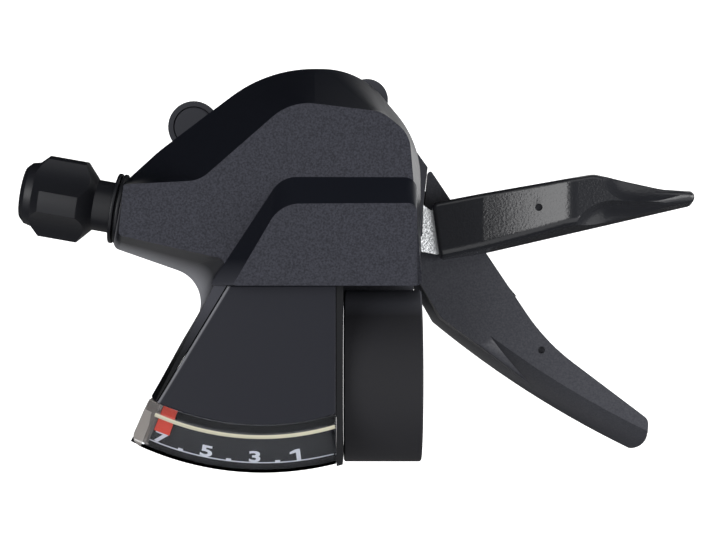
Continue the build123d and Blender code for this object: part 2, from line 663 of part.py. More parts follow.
def indicator_tray():
    """Floor of the indicator, with the dial's ramp, a rear rim, a right wall and the needle's post."""
    floor_top = FAN_FLOOR + FLOOR_THICKNESS
    floor = prism(panel_plan(CHAMBER_LEFT_TOP, SEAM), FAN_FLOOR, floor_top)
    floor &= disc(NEEDLE_AXIS, LENS_INNER - SEAM, FAN_FLOOR, floor_top)
    tongue = [
        (WINDOW_LEFT + SEAM, BODY_Y - 1),
        (WINDOW_LEFT + SEAM, BODY_Y + WINDOW_DEPTH - 0.6),
        (-27.2, BODY_Y + 8.5),
        (-27.6, BODY_Y + 14.0),
        (-22.0, BODY_Y + 20.8),
        (-15.5, BODY_Y + 20.0),
        (-13.0, BODY_Y + 9.0),
        (TRAY_BOSSES[0][0] + BOSS_RADIUS - SEAM, BODY_Y + 6.0),
        (TRAY_BOSSES[0][0] + BOSS_RADIUS - SEAM, BODY_Y - 1),
    ]
    floor += prism(make_face(Polyline(*tongue, close=True)), FAN_FLOOR, floor_top)
    ramp_drop = DIAL_THICKNESS
    rim_inner = DIAL_OUTER + SEAM
    ramp = [
        (LENS_INNER - SEAM, floor_top),
        (DIAL_INNER, floor_top),
        (DIAL_INNER, DIAL_INNER_Z - ramp_drop),
        (DIAL_OUTER, DIAL_OUTER_Z - ramp_drop),
        (rim_inner, DIAL_OUTER_Z - ramp_drop),
        (rim_inner, LENS_FOOT_Z - LENS_WALL),
        (LENS_OUTER, LENS_FOOT_Z - LENS_WALL),
        (LENS_OUTER, RIM_Z),
        (DIAL_OUTER, RIM_Z),
        (DIAL_INNER, FAN_FLOOR - ramp_drop),
        (LENS_INNER - SEAM, FAN_FLOOR),
    ]
    left = -90 - LENS_END_ANGLE
    inner_left = left + degrees((LENS_END_WALL + SEAM) / DIAL_INNER)
    rear = fan_sector(ramp, inner_left, -90 + LENS_END_ANGLE)
    rim = upright(rim_inner, LENS_OUTER, RIM_Z, LENS_FOOT_Z - LENS_WALL)
    rear += fan_sector(rim, left, -90 + LENS_END_ANGLE)
    floor += rear & left_of_wall(SEAM)
    wall = fan_sector(upright(NEEDLE_HUB_RADIUS, LENS_OUTER, FAN_FLOOR, PANEL_TOP), -92, -45)
    wall += fan_sector(upright(DIAL_INNER, LENS_OUTER, RIM_Z, PANEL_TOP), -92, -45)
    side = Pos(FAN_RIGHT - SIDE_WALL, BODY_Y - SEAM, 0)
    side = side * Box(SIDE_WALL, REACH, REACH, align=(Align.MIN, Align.MAX, Align.CENTER))
    floor += wall & side
    saddle = Pos(FAN_RIGHT - SIDE_WALL, 0, 0)
    saddle = saddle * Box(SIDE_WALL, 2 * CLAMP_RADIUS, PANEL_TOP, align=(Align.MIN, Align.CENTER, Align.MIN))
    saddle -= Cylinder(FAN_FLOOR, REACH, rotation=(0, 90, 0))
    floor += saddle & disc(NEEDLE_AXIS, LENS_OUTER, -1, PANEL_TOP)
    link_end = NEEDLE_AXIS[1] - LENS_INNER + 1
    link = Pos(FAN_RIGHT - SIDE_WALL / 2, BODY_Y, FAN_FLOOR)
    floor += link * Box(
        SIDE_WALL * 2,
        BODY_Y - link_end,
        FLOOR_THICKNESS,
        align=(Align.MAX, Align.MAX, Align.MIN),
    )
    post_top = SHOULDER_Z - WALL - SEAM
    floor += disc(NEEDLE_AXIS, NEEDLE_POST_RADIUS, FAN_FLOOR, post_top)
    for place in TRAY_BOSSES:
        floor -= disc(place, TRAY_SCREW_RADIUS + RUNNING_FIT, FAN_FLOOR - 1, floor_top + 1)
    return floor


def tray_screws():
    """Small screws that hold the tray to the hood from below."""
    screws = []
    for place in TRAY_BOSSES:
        shank = disc(place, TRAY_SCREW_RADIUS, FAN_FLOOR, SHOULDER_Z - WALL)
        head = disc(place, SCREW_HEAD_RADIUS, FAN_FLOOR - SCREW_HEAD_HEIGHT, FAN_FLOOR)
        screws.append(shank + head)
    return Compound(children=screws)


def cover_screws():
    """Screws that hold the hood on the deck from below."""
    screws = []
    for place in COVER_SCREWS:
        shank = disc(place, COVER_SCREW_RADIUS, DECK_BOTTOM, BAND_Z - WALL)
        head = disc(place, SCREW_HEAD_RADIUS, DECK_BOTTOM, DECK_BOTTOM + SCREW_HEAD_HEIGHT)
        screws.append(shank + head)
    return Compound(children=screws)


def needle():
    """Pointer lever: a hub, a slotted arm towards the pivot and a kneed arm to the dial."""
    hub = disc(NEEDLE_AXIS, NEEDLE_HUB_RADIUS, NEEDLE_BOTTOM, NEEDLE_TOP + NEEDLE_THICKNESS)
    start = -90 - NEEDLE_REST_ANGLE
    knee = polar(NEEDLE_AXIS, NEEDLE_KNEE_RADIUS, -90 - NEEDLE_KNEE_ANGLE)
    tip = polar(NEEDLE_AXIS, LENS_INNER, start)
    arm = bar(NEEDLE_AXIS, knee, NEEDLE_WIDTH) + bar(knee, tip, NEEDLE_WIDTH)
    arm &= disc(NEEDLE_AXIS, LENS_INNER, NEEDLE_BOTTOM, NEEDLE_TOP)
    span = hypot(PIVOT[0] - NEEDLE_AXIS[0], PIVOT[1] - NEEDLE_AXIS[1])
    near = span + DRIVE_RADIUS * cos(radians(DRUM_SWEEP / 2))
    slot_angle = needle_line_angle() - NEEDLE_SWEEP / 2
    slot_width = 2 * (DRIVE_PIN_RADIUS + SLOT_PLAY)
    far = span + DRIVE_RADIUS
    fork_end = polar(NEEDLE_AXIS, far + slot_width / 2, slot_angle)
    fork = bar(NEEDLE_AXIS, fork_end, slot_width + 2 * NEEDLE_WIDTH / 2)
    slot_near = polar(NEEDLE_AXIS, near - SLOT_PLAY, slot_angle)
    slot_far = polar(NEEDLE_AXIS, far + SLOT_PLAY, slot_angle)
    slot = bar(slot_near, slot_far, slot_width)
    lever = hub + arm + fork - slot
    return lever - disc(NEEDLE_AXIS, NEEDLE_POST_RADIUS + RUNNING_FIT, NEEDLE_BOTTOM - 1, PANEL_TOP)


def bar(start, end, width):
    """Flat bar with round ends at the needle's level."""
    length = hypot(end[0] - start[0], end[1] - start[1])
    middle = ((start[0] + end[0]) / 2, (start[1] + end[1]) / 2)
    angle = degrees(atan2(end[1] - start[1], end[0] - start[0]))
    face = Pos(*middle) * Rot(0, 0, angle) * SlotCenterToCenter(length, width)
    return prism(face, NEEDLE_BOTTOM, NEEDLE_TOP)


def needle_tip():
    """Red pointer end, bent down along the dial."""
    slope = (DIAL_INNER_Z - DIAL_OUTER_Z) / (DIAL_OUTER - DIAL_INNER)
    drop = slope * (NEEDLE_TIP_OUTER - DIAL_INNER)
    profile = [
        (LENS_INNER, NEEDLE_TOP),
        (DIAL_INNER, NEEDLE_TOP),
        (NEEDLE_TIP_OUTER, NEEDLE_TOP - drop),
        (NEEDLE_TIP_OUTER, NEEDLE_BOTTOM - drop),
        (DIAL_INNER, NEEDLE_BOTTOM),
        (LENS_INNER, NEEDLE_BOTTOM),
    ]
    half = degrees(NEEDLE_TIP_WIDTH / 2 / LENS_RIDGE)
    middle = -90 - NEEDLE_REST_ANGLE
    return fan_sector(profile, middle - half, middle + half)


def main_axle():
    """Stepped pivot through the whole stack."""
    axle = disc(PIVOT, AXLE_RADIUS, WASHER_BOTTOM, DECK_TOP)
    axle += disc(PIVOT, AXLE_RADIUS + 1, DECK_TOP, RATCHET_BOTTOM - AXIAL_PLAY)
    clip_low = DRUM_TOP + AXIAL_PLAY
    clip_high = clip_low + CLIP_THICKNESS
    axle += disc(PIVOT, DRUM_AXLE_RADIUS, DECK_TOP, clip_low)
    axle += disc(PIVOT, CLIP_NECK_RADIUS, clip_low, clip_high)
    axle += disc(PIVOT, CLIP_NECK_RADIUS + EDGE, clip_high, clip_high + 1)
    return axle + disc(PIVOT, THREAD_RADIUS, LOWER_BOTTOM - AXLE_NUT_HEIGHT - EDGE, WASHER_BOTTOM)


def axle_clip():
    """Open spring clip in the axle's neck."""
    low = DRUM_TOP + AXIAL_PLAY
    clip = disc(PIVOT, CLIP_RADIUS, low, low + CLIP_THICKNESS)
    clip -= disc(PIVOT, CLIP_NECK_RADIUS, low - 1, low + 2)
    return clip - pie(PIVOT, CLIP_RADIUS + 1, 140, 220, low - 1, low + 2)


def axle_nut():
    """Hexagon nut under the lower cover."""
    low = LOWER_BOTTOM - AXLE_NUT_HEIGHT
    nut = prism(Pos(*PIVOT) * RegularPolygon(AXLE_NUT_RADIUS, 6), low, LOWER_BOTTOM)
    return nut - disc(PIVOT, THREAD_RADIUS, low - 1, LOWER_BOTTOM + 1)


def ring(inner, outer, low, high):
    """Plain ring round the main axle."""
    return disc(PIVOT, outer, low, high) - disc(PIVOT, inner, low - 1, high + 1)


def lower_cover():
    """Pan under the deck: a round pod for the lever hubs and a shallow nose."""
    pod = lower_shape(0, LOWER_BOTTOM)
    pod -= lower_shape(LOWER_WALL, WASHER_BOTTOM)
    pod -= disc(PIVOT, THREAD_RADIUS, LOWER_BOTTOM - 1, WASHER_BOTTOM + 1)
    trigger_window = pie(PIVOT, REACH / 4, -62, 5, TRIGGER_BOTTOM - 2 * AXIAL_PLAY, DECK_BOTTOM)
    lever_window = pie(PIVOT, REACH / 4, -60, 70, LEVER_BOTTOM - 3 * AXIAL_PLAY, LEVER_TOP + 3 * AXIAL_PLAY)
    hub_keep = disc(PIVOT, POD_RADIUS - 2 * LOWER_WALL, LOWER_BOTTOM - 1, DECK_BOTTOM + 1)
    pod -= trigger_window - hub_keep
    pod -= lever_window - hub_keep
    return pod


def lower_shape(wall, floor):
    """Outer or inner form of the lower cover, a wall inside its outline."""
    plan = inset(HOOD_PLAN, EDGE + wall)
    body = prism(rounded(plan), DECK_BOTTOM - NOSE_PAN_DROP + wall, DECK_BOTTOM)
    pod = disc(PIVOT, POD_REACH - wall, floor, DECK_BOTTOM)
    body += pod & prism(rounded(plan), floor, DECK_BOTTOM)
    rear = Pos(0, BODY_Y + 2 * WALL + wall - LOWER_WALL, 0)
    body -= rear * Box(REACH, REACH, REACH, align=(Align.CENTER, Align.MAX, Align.CENTER))
    swept = pie(PIVOT, REACH / 4, -66 - wall, 76 + wall, floor - 1, DECK_BOTTOM + 1)
    return body - (swept - disc(PIVOT, POD_RADIUS - wall, floor - 2, DECK_BOTTOM + 2))


def cable_drum():
    """Grooved drum with a tall hub and a pocket for the cable's end."""
    groove = CABLE_RADIUS
    profile = [
        (DRUM_AXLE_RADIUS + RUNNING_FIT, RATCHET_TOP),
        (DRUM_FLANGE_RADIUS, RATCHET_TOP),
        (DRUM_FLANGE_RADIUS, CABLE_Z - 2 * groove),
        (DRUM_PITCH_RADIUS - groove, CABLE_Z - groove),
        (DRUM_PITCH_RADIUS - groove, CABLE_Z + groove),
        (DRUM_FLANGE_RADIUS, CABLE_Z + 2 * groove),
        (DRUM_FLANGE_RADIUS, CABLE_Z + 2 * groove + DRUM_FLANGE),
        (DRUM_HUB_RADIUS, CABLE_Z + 2 * groove + DRUM_FLANGE),
        (DRUM_HUB_RADIUS, DRUM_TOP),
        (DRUM_AXLE_RADIUS + RUNNING_FIT, DRUM_TOP),
    ]
    drum = fan_sector(profile, 0, 360, PIVOT)
    nipple = polar(PIVOT, DRUM_HUB_RADIUS + NIPPLE_RADIUS + EDGE, 20)
    drum -= disc(nipple, NIPPLE_RADIUS, CABLE_Z - groove, CABLE_Z + 2 * groove + DRUM_FLANGE + 1)
    pin_place = polar(PIVOT, DRIVE_RADIUS, DRIVE_REST)
    return drum - disc(pin_place, DRIVE_PIN_RADIUS, DRUM_TOP - 4, DRUM_TOP + 1)


def drive_pin():
    """Pin on the drum's hub that carries the needle round."""
    place = polar(PIVOT, DRIVE_RADIUS, DRIVE_REST)
    return disc(place, DRIVE_PIN_RADIUS, DRUM_TOP - 4, NEEDLE_TOP + EDGE)


def tooth_gap(angle, growth):
    """Ratchet gap at an angle round the pivot: steep on its clockwise side."""
    root = TOOTH_TIP - TOOTH_DEPTH
    steep = polar(PIVOT, root - growth, angle + degrees(growth / root))
    steep_out = polar(PIVOT, TOOTH_TIP + 1, angle + 4 + degrees(growth / root))
    ramp_in = polar(PIVOT, root - growth, angle - CLICK * 0.35 - degrees(growth / root))
    ramp_out = polar(PIVOT, TOOTH_TIP + 1, angle - CLICK * 0.9 - degrees(growth / root))
    return make_face(Polyline(steep, steep_out, ramp_out, ramp_in, close=True))


def ratchet_plate():
    """Toothed steel plate fixed under the drum."""
    plate = disc(PIVOT, TOOTH_TIP, RATCHET_BOTTOM, RATCHET_TOP)
    for step in range(TOOTH_COUNT):
        gap = tooth_gap(FIRST_TOOTH + step * CLICK, 0)
        plate -= prism(gap, RATCHET_BOTTOM - 1, RATCHET_TOP + 1)
    return plate - disc(PIVOT, DRUM_AXLE_RADIUS + RUNNING_FIT, RATCHET_BOTTOM - 1, RATCHET_TOP + 1)


def feed_pawl():
    """Pawl on the thumb lever, held lifted from the teeth at rest."""
    nose_angle = FEED_ANGLE + FEED_NOSE_ANGLE
    root = TOOTH_TIP - TOOTH_DEPTH + CATCH_CLEARANCE
    tip = polar(PIVOT, root, nose_angle - 1)
    heel = polar(PIVOT, root, nose_angle - 5)
    back = polar(PIVOT, TOOTH_TIP + 1.4, nose_angle + 2.0)
    side = polar(PIVOT, TOOTH_TIP + 0.8, nose_angle - 14)
    eye_out = polar(PIVOT, FEED_RADIUS + PAWL_EYE_RADIUS * 0.9, FEED_ANGLE + 5)
    eye_in = polar(PIVOT, FEED_RADIUS - PAWL_EYE_RADIUS * 0.7, FEED_ANGLE + 5)
    face = make_face(Polyline(tip, back, eye_out, eye_in, side, heel, close=True))
    pawl = prism(face, RATCHET_BOTTOM, RATCHET_TOP)
    pawl += disc(FEED_PIN, PAWL_EYE_RADIUS, RATCHET_BOTTOM, RATCHET_TOP)
    pawl -= disc(FEED_PIN, PAWL_PIN_RADIUS + RUNNING_FIT, RATCHET_BOTTOM - 1, RATCHET_TOP + 1)
    return pawl.rotate(Axis((FEED_PIN[0], FEED_PIN[1], 0), (0, 0, 1)), -FEED_LIFT)


def feed_pawl_pin():
    """Pillar on the thumb lever's plate that carries the feed pawl."""
    pillar = disc(FEED_PIN, PAWL_EYE_RADIUS, LEVER_TOP, RATCHET_BOTTOM - AXIAL_PLAY)
    return pillar + disc(FEED_PIN, PAWL_PIN_RADIUS, LEVER_BOTTOM, RATCHET_TOP + EDGE)


def catch_pawl():
    """Two-armed pawl: a nose that holds the ratchet and a tail for the trigger's tab."""
    nose_angle = CATCH_ANGLE + CATCH_NOSE_ANGLE
    tip = polar(PIVOT, TOOTH_TIP + CATCH_CLEARANCE, nose_angle)
    heel = polar(PIVOT, TOOTH_TIP + CATCH_CLEARANCE * 2, nose_angle - 8)
    back = polar(PIVOT, TOOTH_TIP + 2.6, nose_angle + 1)
    eye_out = polar(PIVOT, CATCH_RADIUS + PAWL_EYE_RADIUS * 0.4, CATCH_ANGLE + 9)
    eye_in = polar(PIVOT, CATCH_RADIUS - PAWL_EYE_RADIUS * 0.9, CATCH_ANGLE + 4)
    nose = make_face(Polyline(tip, back, eye_out, eye_in, heel, close=True))
    tail_end = polar(CATCH_PIN, CATCH_TAIL_LENGTH, CATCH_TAIL_ANGLE)
    middle = ((CATCH_PIN[0] + tail_end[0]) / 2, (CATCH_PIN[1] + tail_end[1]) / 2)
    tail = Pos(*middle) * Rot(0, 0, CATCH_TAIL_ANGLE)
    tail = tail * SlotCenterToCenter(CATCH_TAIL_LENGTH, 2 * PAWL_PIN_RADIUS)
    pawl = prism(nose, RATCHET_BOTTOM, RATCHET_TOP) + prism(tail, RATCHET_BOTTOM, RATCHET_TOP)
    pawl += disc(CATCH_PIN, PAWL_EYE_RADIUS, RATCHET_BOTTOM, RATCHET_TOP)
    return pawl - disc(CATCH_PIN, PAWL_PIN_RADIUS + RUNNING_FIT, RATCHET_BOTTOM - 1, RATCHET_TOP + 1)


def catch_pin():
    """Pin in the deck that carries the catch pawl."""
    pin = disc(CATCH_PIN, PAWL_PIN_RADIUS, DECK_BOTTOM, RATCHET_TOP + EDGE)
    return pin + disc(CATCH_PIN, PAWL_EYE_RADIUS, DECK_TOP, RATCHET_BOTTOM - AXIAL_PLAY)


def trigger_strip():
    """Plan of the trigger's steel strip from its hub into the moulded arm."""
    points = [
        (PIVOT[0], PIVOT[1] + LEVER_HUB_RADIUS),
        (TRIGGER_ROOT_X - 1, BODY_Y + 12.4),
        (TONGUE_END_X, BODY_Y + 13.0),
        (TONGUE_END_X, BODY_Y + 9.6),
        (TRIGGER_ROOT_X, BODY_Y + 5.0),
        (PIVOT[0] - 2, PIVOT[1] - LEVER_HUB_RADIUS + 0.3),
    ]
    return make_face(Polyline(*points, close=True))


def trigger_plate():
    """Steel core of the trigger: hub, strip to the finger arm and a tail with the lifting tab."""
    plate = disc(PIVOT, LEVER_HUB_RADIUS, TRIGGER_BOTTOM, TRIGGER_TOP)
    plate += prism(trigger_strip(), TRIGGER_BOTTOM, TRIGGER_TOP)
    tab_angle, tab_radius = tab_place()
    tail = Pos(tab_radius / 2, 0) * SlotCenterToCenter(tab_radius, TAIL_WIDTH)
    tail = Pos(*PIVOT) * Rot(0, 0, tab_angle) * tail
    plate += prism(tail, TRIGGER_BOTTOM, TRIGGER_TOP)
    plate += disc(polar(PIVOT, tab_radius, tab_angle), TAB_WIDTH / 2, TRIGGER_BOTTOM, TAB_TOP)
    return plate - disc(PIVOT, AXLE_RADIUS + RUNNING_FIT, TRIGGER_BOTTOM - 1, TRIGGER_TOP + 1)


def trigger_arm():
    """Moulded finger arm: a flat root, a rising blade, a scooped pad and a hollowed rear flank."""
    top = TRIGGER_TOP + TRIGGER_TOP_COVER
    bottom = TRIGGER_BOTTOM - TRIGGER_BOTTOM_COVER
    crest = top + TRIGGER_RISE
    pad = crest - PAD_DROP
    tip = TRIGGER_PLAN[5][0] + 1
    root = TRIGGER_PLAN[0][0] - 1
    side = [
        (root, top, EDGE),
        (TRIGGER_BEND_X, top, 4.0),
        (TRIGGER_HOLLOW_X, top + TRIGGER_HOLLOW, 60.0),
        (TRIGGER_CREST_X, crest, 6.0),
        (tip - 7.0, pad, 10.0),
        (tip, pad - 1.2, EDGE),
        (tip, bottom + 2.0, EDGE),
        (tip - 12.0, bottom, 20.0),
        (root, bottom, EDGE),
    ]
    blade = prism(rounded(body_plan(TRIGGER_PLAN)), bottom - 1, crest + 1)
    profile = Plane.XZ * rounded(side)
    blade &= Pos(0, REACH / 2, 0) * extrude(profile, amount=REACH)
    blade -= behind_flank(bottom)
    blade = round_top(blade, -1, TRIGGER_REAR_ROUND)
    blade = round_top(blade, 1, TRIGGER_FRONT_ROUND)
    blade -= round_nosed(SCOOP_START, BODY_Y + 19.2, pad + 7.3, SCOOP_RADIUS)
    blade -= round_nosed(FLANK_START, BODY_Y + 6.6, pad + 3.7, FLANK_RADIUS)
    blade -= prism(trigger_strip(), TRIGGER_BOTTOM, TRIGGER_TOP)
    return blade - disc(TRIGGER_HOLE, MOULD_HOLE_RADIUS, crest - 1 - MOULD_HOLE_DEPTH, crest + 2)


def behind_flank(level):
    """Half space behind the trigger's rear flank, which leans forward from its foot."""
    start, end = [Vector(x, BODY_Y + y, level) for x, y, _ in (TRIGGER_PLAN[-1], TRIGGER_PLAN[5])]
    along = (end - start).normalized()
    back = Vector(along.Y, -along.X, 0)
    out = back * cos(radians(TRIGGER_LEAN)) + Vector(0, 0, sin(radians(TRIGGER_LEAN)))
    plane = Plane(origin=start + back * TRIGGER_LEAN_OFFSET, x_dir=along, z_dir=out)
    return plane * Box(REACH, REACH, REACH, align=(Align.CENTER, Align.CENTER, Align.MIN))


def round_top(blade, side, radius):
    """Rounds the trigger's top along its rear (-1) or front (1) edge."""
    rim = []
    for edge in blade.edges():
        middle = edge @ 0.5
        ahead = middle.Y - TRIGGER_MIDDLE_Y - middle.X * TRIGGER_MIDDLE_SLOPE
        if middle.Z > TRIGGER_TOP + EDGE and ahead * side > 0 and abs((edge % 0.5).X) > 0.6:
            rim.append(edge)
    return fillet(rim, radius)


def round_nosed(x, y, z, radius):
    """Cutter along X with a ball end, for hollows in the trigger."""
    rod = Cylinder(radius, REACH / 4, rotation=(0, 90, 0), align=(Align.CENTER, Align.CENTER, Align.MIN))
    return Pos(x, y, z) * (Sphere(radius) + rod)


def lever_tongue():
    """Plan of the thumb lever's steel tongue from its hub into the moulded arm."""
    points = [
        (PIVOT[0] + 1, PIVOT[1] + LEVER_HUB_RADIUS - 0.2),
        (9.0, BODY_Y + 15.0),
        (23.0, BODY_Y - 2.0),
        (18.0, BODY_Y - 7.0),
        (9.0, BODY_Y + 3.0),
        (PIVOT[0] - 3, PIVOT[1] - LEVER_HUB_RADIUS + 0.7),
    ]
    return make_face(Polyline(*points, close=True))


def main_lever_plate():
    """Steel core of the thumb lever: hub, tongue and the feed pawl's ear."""
    plate = disc(PIVOT, LEVER_HUB_RADIUS, LEVER_BOTTOM, LEVER_TOP)
    plate += prism(lever_tongue(), LEVER_BOTTOM, LEVER_TOP)
    ear = Pos(*polar(PIVOT, FEED_RADIUS / 2, FEED_ANGLE)) * Rot(0, 0, FEED_ANGLE)
    ear = ear * SlotCenterToCenter(FEED_RADIUS, 2 * PAWL_EYE_RADIUS)
    plate += prism(ear, LEVER_BOTTOM, LEVER_TOP)
    plate -= disc(FEED_PIN, PAWL_PIN_RADIUS, LEVER_BOTTOM - 1, LEVER_TOP + 1)
    return plate - disc(PIVOT, AXLE_RADIUS + RUNNING_FIT, LEVER_BOTTOM - 1, LEVER_TOP + 1)


def main_lever_arm():
    """Moulded thumb lever: a flat leaf whose rear edge turns down into a paddle."""
    top = LEVER_TOP + LEVER_TOP_COVER
    bottom = LEVER_BOTTOM - LEVER_BOTTOM_COVER
    foot = top - PADDLE_DROP
    first, middle, last = [Vector(x, BODY_Y + y) for x, y in PADDLE_ENDS]
    edge = ThreePointArc(first, middle, last)
    centre = edge.arc_center
    radius = edge.radius
    start = degrees(atan2(first.Y - centre.Y, first.X - centre.X))
    end = degrees(atan2(last.Y - centre.Y, last.X - centre.X))
    margin = 8.5
    outer = ThreePointArc(
        (radius, foot),
        (radius - PADDLE_WIDTH * 0.28, (foot * 0.42 + top * 0.58)),
        (radius - PADDLE_WIDTH, top),
    )
    inner = ThreePointArc(
        (radius - PADDLE_WIDTH - PADDLE_THICKNESS, bottom),
        (radius - PADDLE_WIDTH * 0.36 - PADDLE_THICKNESS, (foot * 0.5 + bottom * 0.5)),
        (radius - PADDLE_THICKNESS, foot),
    )
    depth = radius - LEAF_DEPTH
    edges = [
        outer,
        Line((radius - PADDLE_WIDTH, top), (depth, top)),
        Line((depth, top), (depth, bottom)),
        Line((depth, bottom), (radius - PADDLE_WIDTH - PADDLE_THICKNESS, bottom)),
        inner,
        Line((radius - PADDLE_THICKNESS, foot), (radius, foot)),
    ]
    first_angle = min(start, end) - margin
    out = Vector(cos(radians(first_angle)), sin(radians(first_angle)), 0)
    plane = Plane(origin=(centre.X, centre.Y, 0), x_dir=out, z_dir=(out.Y, -out.X, 0))
    turn = abs(end - start) + 2 * margin
    swept = revolve(plane * make_face(edges), Axis((centre.X, centre.Y, 0), (0, 0, 1)), turn)
    leaf = swept & prism(rounded(body_plan(LEVER_PLAN)), foot - 1, top + 1)
    leaf += frustum(body_plan(LEVER_ROOT_FOOT), bottom, body_plan(LEVER_ROOT), top)
    leaf -= prism(lever_tongue(), LEVER_BOTTOM, LEVER_TOP)
    return leaf - disc(LEVER_HOLE, MOULD_HOLE_RADIUS, top - MOULD_HOLE_DEPTH, top + 1)


def adjuster_seat():
    """Double flange and threaded sleeve in the nose."""
    bore = BARREL_RADIUS + RUNNING_FIT
    profile = [
        (bore, -SEAT_SLEEVE_DEPTH),
        (SEAT_SLEEVE_RADIUS, -SEAT_SLEEVE_DEPTH),
        (SEAT_SLEEVE_RADIUS, 0),
        (SEAT_RADIUS, 0),
        (SEAT_RADIUS, SEAT_DISC),
        (SEAT_RADIUS - 2 * SEAT_GROOVE, SEAT_DISC),
        (SEAT_RADIUS - 2 * SEAT_GROOVE, SEAT_DISC + SEAT_GROOVE),
        (SEAT_RADIUS, SEAT_DISC + SEAT_GROOVE),
        (SEAT_RADIUS, 2 * SEAT_DISC + SEAT_GROOVE),
        (bore, 2 * SEAT_DISC + SEAT_GROOVE),
    ]
    return turned(profile, ADJUSTER)


def neck_start():
    """Distance from the nose face to the knob's neck."""
    return 2 * SEAT_DISC + SEAT_GROOVE + AXIAL_PLAY


def adjuster_barrel():
    """Hollow screw under the knob."""
    end = neck_start() + NECK_LENGTH + KNOB_LENGTH - KNOB_END_RADIUS / 5
    shoulder = end - FERRULE_DEPTH
    wall = FERRULE_RADIUS + 0.9
    profile = [
        (CABLE_BORE_RADIUS, -SEAT_SLEEVE_DEPTH),
        (BARREL_RADIUS, -SEAT_SLEEVE_DEPTH),
        (BARREL_RADIUS, neck_start()),
        (wall, neck_start()),
        (wall, end),
        (FERRULE_RADIUS, end),
        (FERRULE_RADIUS, shoulder),
        (CABLE_BORE_RADIUS, shoulder),
    ]
    return turned(profile, ADJUSTER)


def adjuster_knob():
    """Lobed grip: a neck, a cone, a scalloped drum and a smaller rounded end."""
    start = neck_start()
    cone = start + NECK_LENGTH
    wide = cone + (KNOB_RADIUS - NECK_RADIUS) * 0.9
    end = cone + KNOB_LENGTH
    narrow = end - (KNOB_RADIUS - KNOB_END_RADIUS) * 1.6
    bore = FERRULE_RADIUS + 0.9
    profile = [
        (bore, start),
        (NECK_RADIUS, start),
        (NECK_RADIUS, cone),
        (KNOB_RADIUS, wide),
        (KNOB_RADIUS, narrow - 0.8),
        (KNOB_END_RADIUS + 0.3, narrow + 0.6),
        (KNOB_END_RADIUS, end - 0.8),
        (KNOB_END_RADIUS - 0.8, end),
        (bore, end),
    ]
    knob = turned(profile, ADJUSTER)
    offset_radius = KNOB_RADIUS - KNOB_SCALLOP_DEPTH + KNOB_SCALLOP_RADIUS
    for lobe in range(KNOB_LOBES):
        angle = KNOB_TURN + 360 / KNOB_LOBES * (lobe + 0.5)
        place = ADJUSTER.offset(cone) * Pos(*polar((0, 0), offset_radius, angle))
        knob -= place * Cylinder(KNOB_SCALLOP_RADIUS, KNOB_LENGTH * 3)
    return knob


def build_parts():
    """All pieces by node name."""
    flange_top = CABLE_Z + 2 * CABLE_RADIUS + DRUM_FLANGE
    drum_coil = DRUM_HUB_RADIUS + SPRING_WIRE
    lever_coil = SPACER_RADIUS + SPRING_WIRE
    return {
        "clamp_bracket": clamp_bracket(),
        "clamp_bolt": clamp_bolt(),
        "clamp_nut": clamp_nut(),
        "cable_cap": cable_cap(),
        "top_cover": top_cover(),
        "lower_cover": lower_cover(),
        "cover_screws": cover_screws(),
        "indicator_panel": indicator_panel(),
        "indicator_lens": indicator_lens(),
        "indicator_dial": indicator_dial(),
        "indicator_tray": indicator_tray(),
        "tray_screws": tray_screws(),
        "needle": needle(),
        "needle_tip": needle_tip(),
        "main_axle": main_axle(),
        "axle_clip": axle_clip(),
        "axle_nut": axle_nut(),
        "lever_spacer": ring(AXLE_RADIUS, SPACER_RADIUS, SPACER_BOTTOM, SPACER_TOP),
        "axle_washer": ring(AXLE_RADIUS, LEVER_HUB_RADIUS, WASHER_BOTTOM, WASHER_TOP),
        "cable_drum": cable_drum(),
        "ratchet_plate": ratchet_plate(),
        "drive_pin": drive_pin(),
        "drum_spring": coil(PIVOT, drum_coil, flange_top, DRUM_TOP, 4),
        "lever_spring": coil(PIVOT, lever_coil, SPACER_BOTTOM, SPACER_TOP, 3),
        "main_lever_plate": main_lever_plate(),
        "main_lever_arm": main_lever_arm(),
        "feed_pawl": feed_pawl(),
        "feed_pawl_pin": feed_pawl_pin(),
        "trigger_plate": trigger_plate(),
        "trigger_arm": trigger_arm(),
        "catch_pawl": catch_pawl(),
        "catch_pin": catch_pin(),
        "adjuster_seat": adjuster_seat(),
        "adjuster_barrel": adjuster_barrel(),
        "adjuster_knob": adjuster_knob(),
    }


os.makedirs("parts", exist_ok=True)
for node, solid in build_parts().items():
    export_step(solid, f"parts/{node}.step")
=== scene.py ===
"""Dresses the trigger gear shifter: finishes, softened edges, dial print, light and camera."""

import logging
import math
from dataclasses import dataclass
from enum import Enum, IntEnum

import bmesh
import bpy
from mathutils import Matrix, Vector


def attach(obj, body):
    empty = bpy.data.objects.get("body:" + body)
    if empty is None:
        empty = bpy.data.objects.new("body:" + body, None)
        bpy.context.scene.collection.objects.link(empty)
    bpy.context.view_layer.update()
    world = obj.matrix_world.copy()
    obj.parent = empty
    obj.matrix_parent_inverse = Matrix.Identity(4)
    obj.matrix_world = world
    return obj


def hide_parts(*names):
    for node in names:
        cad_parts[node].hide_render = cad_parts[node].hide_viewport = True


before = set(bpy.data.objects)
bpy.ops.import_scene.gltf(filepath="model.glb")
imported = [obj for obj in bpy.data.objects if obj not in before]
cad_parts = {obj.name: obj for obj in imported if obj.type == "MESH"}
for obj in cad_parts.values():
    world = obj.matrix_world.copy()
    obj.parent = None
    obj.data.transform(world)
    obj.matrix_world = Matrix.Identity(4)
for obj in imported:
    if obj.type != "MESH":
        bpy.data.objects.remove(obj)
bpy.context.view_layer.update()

LOG = logging.getLogger("shifter")
MM = 0.001
# Octaves of a moulded grain, and the noise levels between which a fleck sets in
GRAIN_DETAIL = 2.0
FLECK_RANGE = (0.3, 0.7)
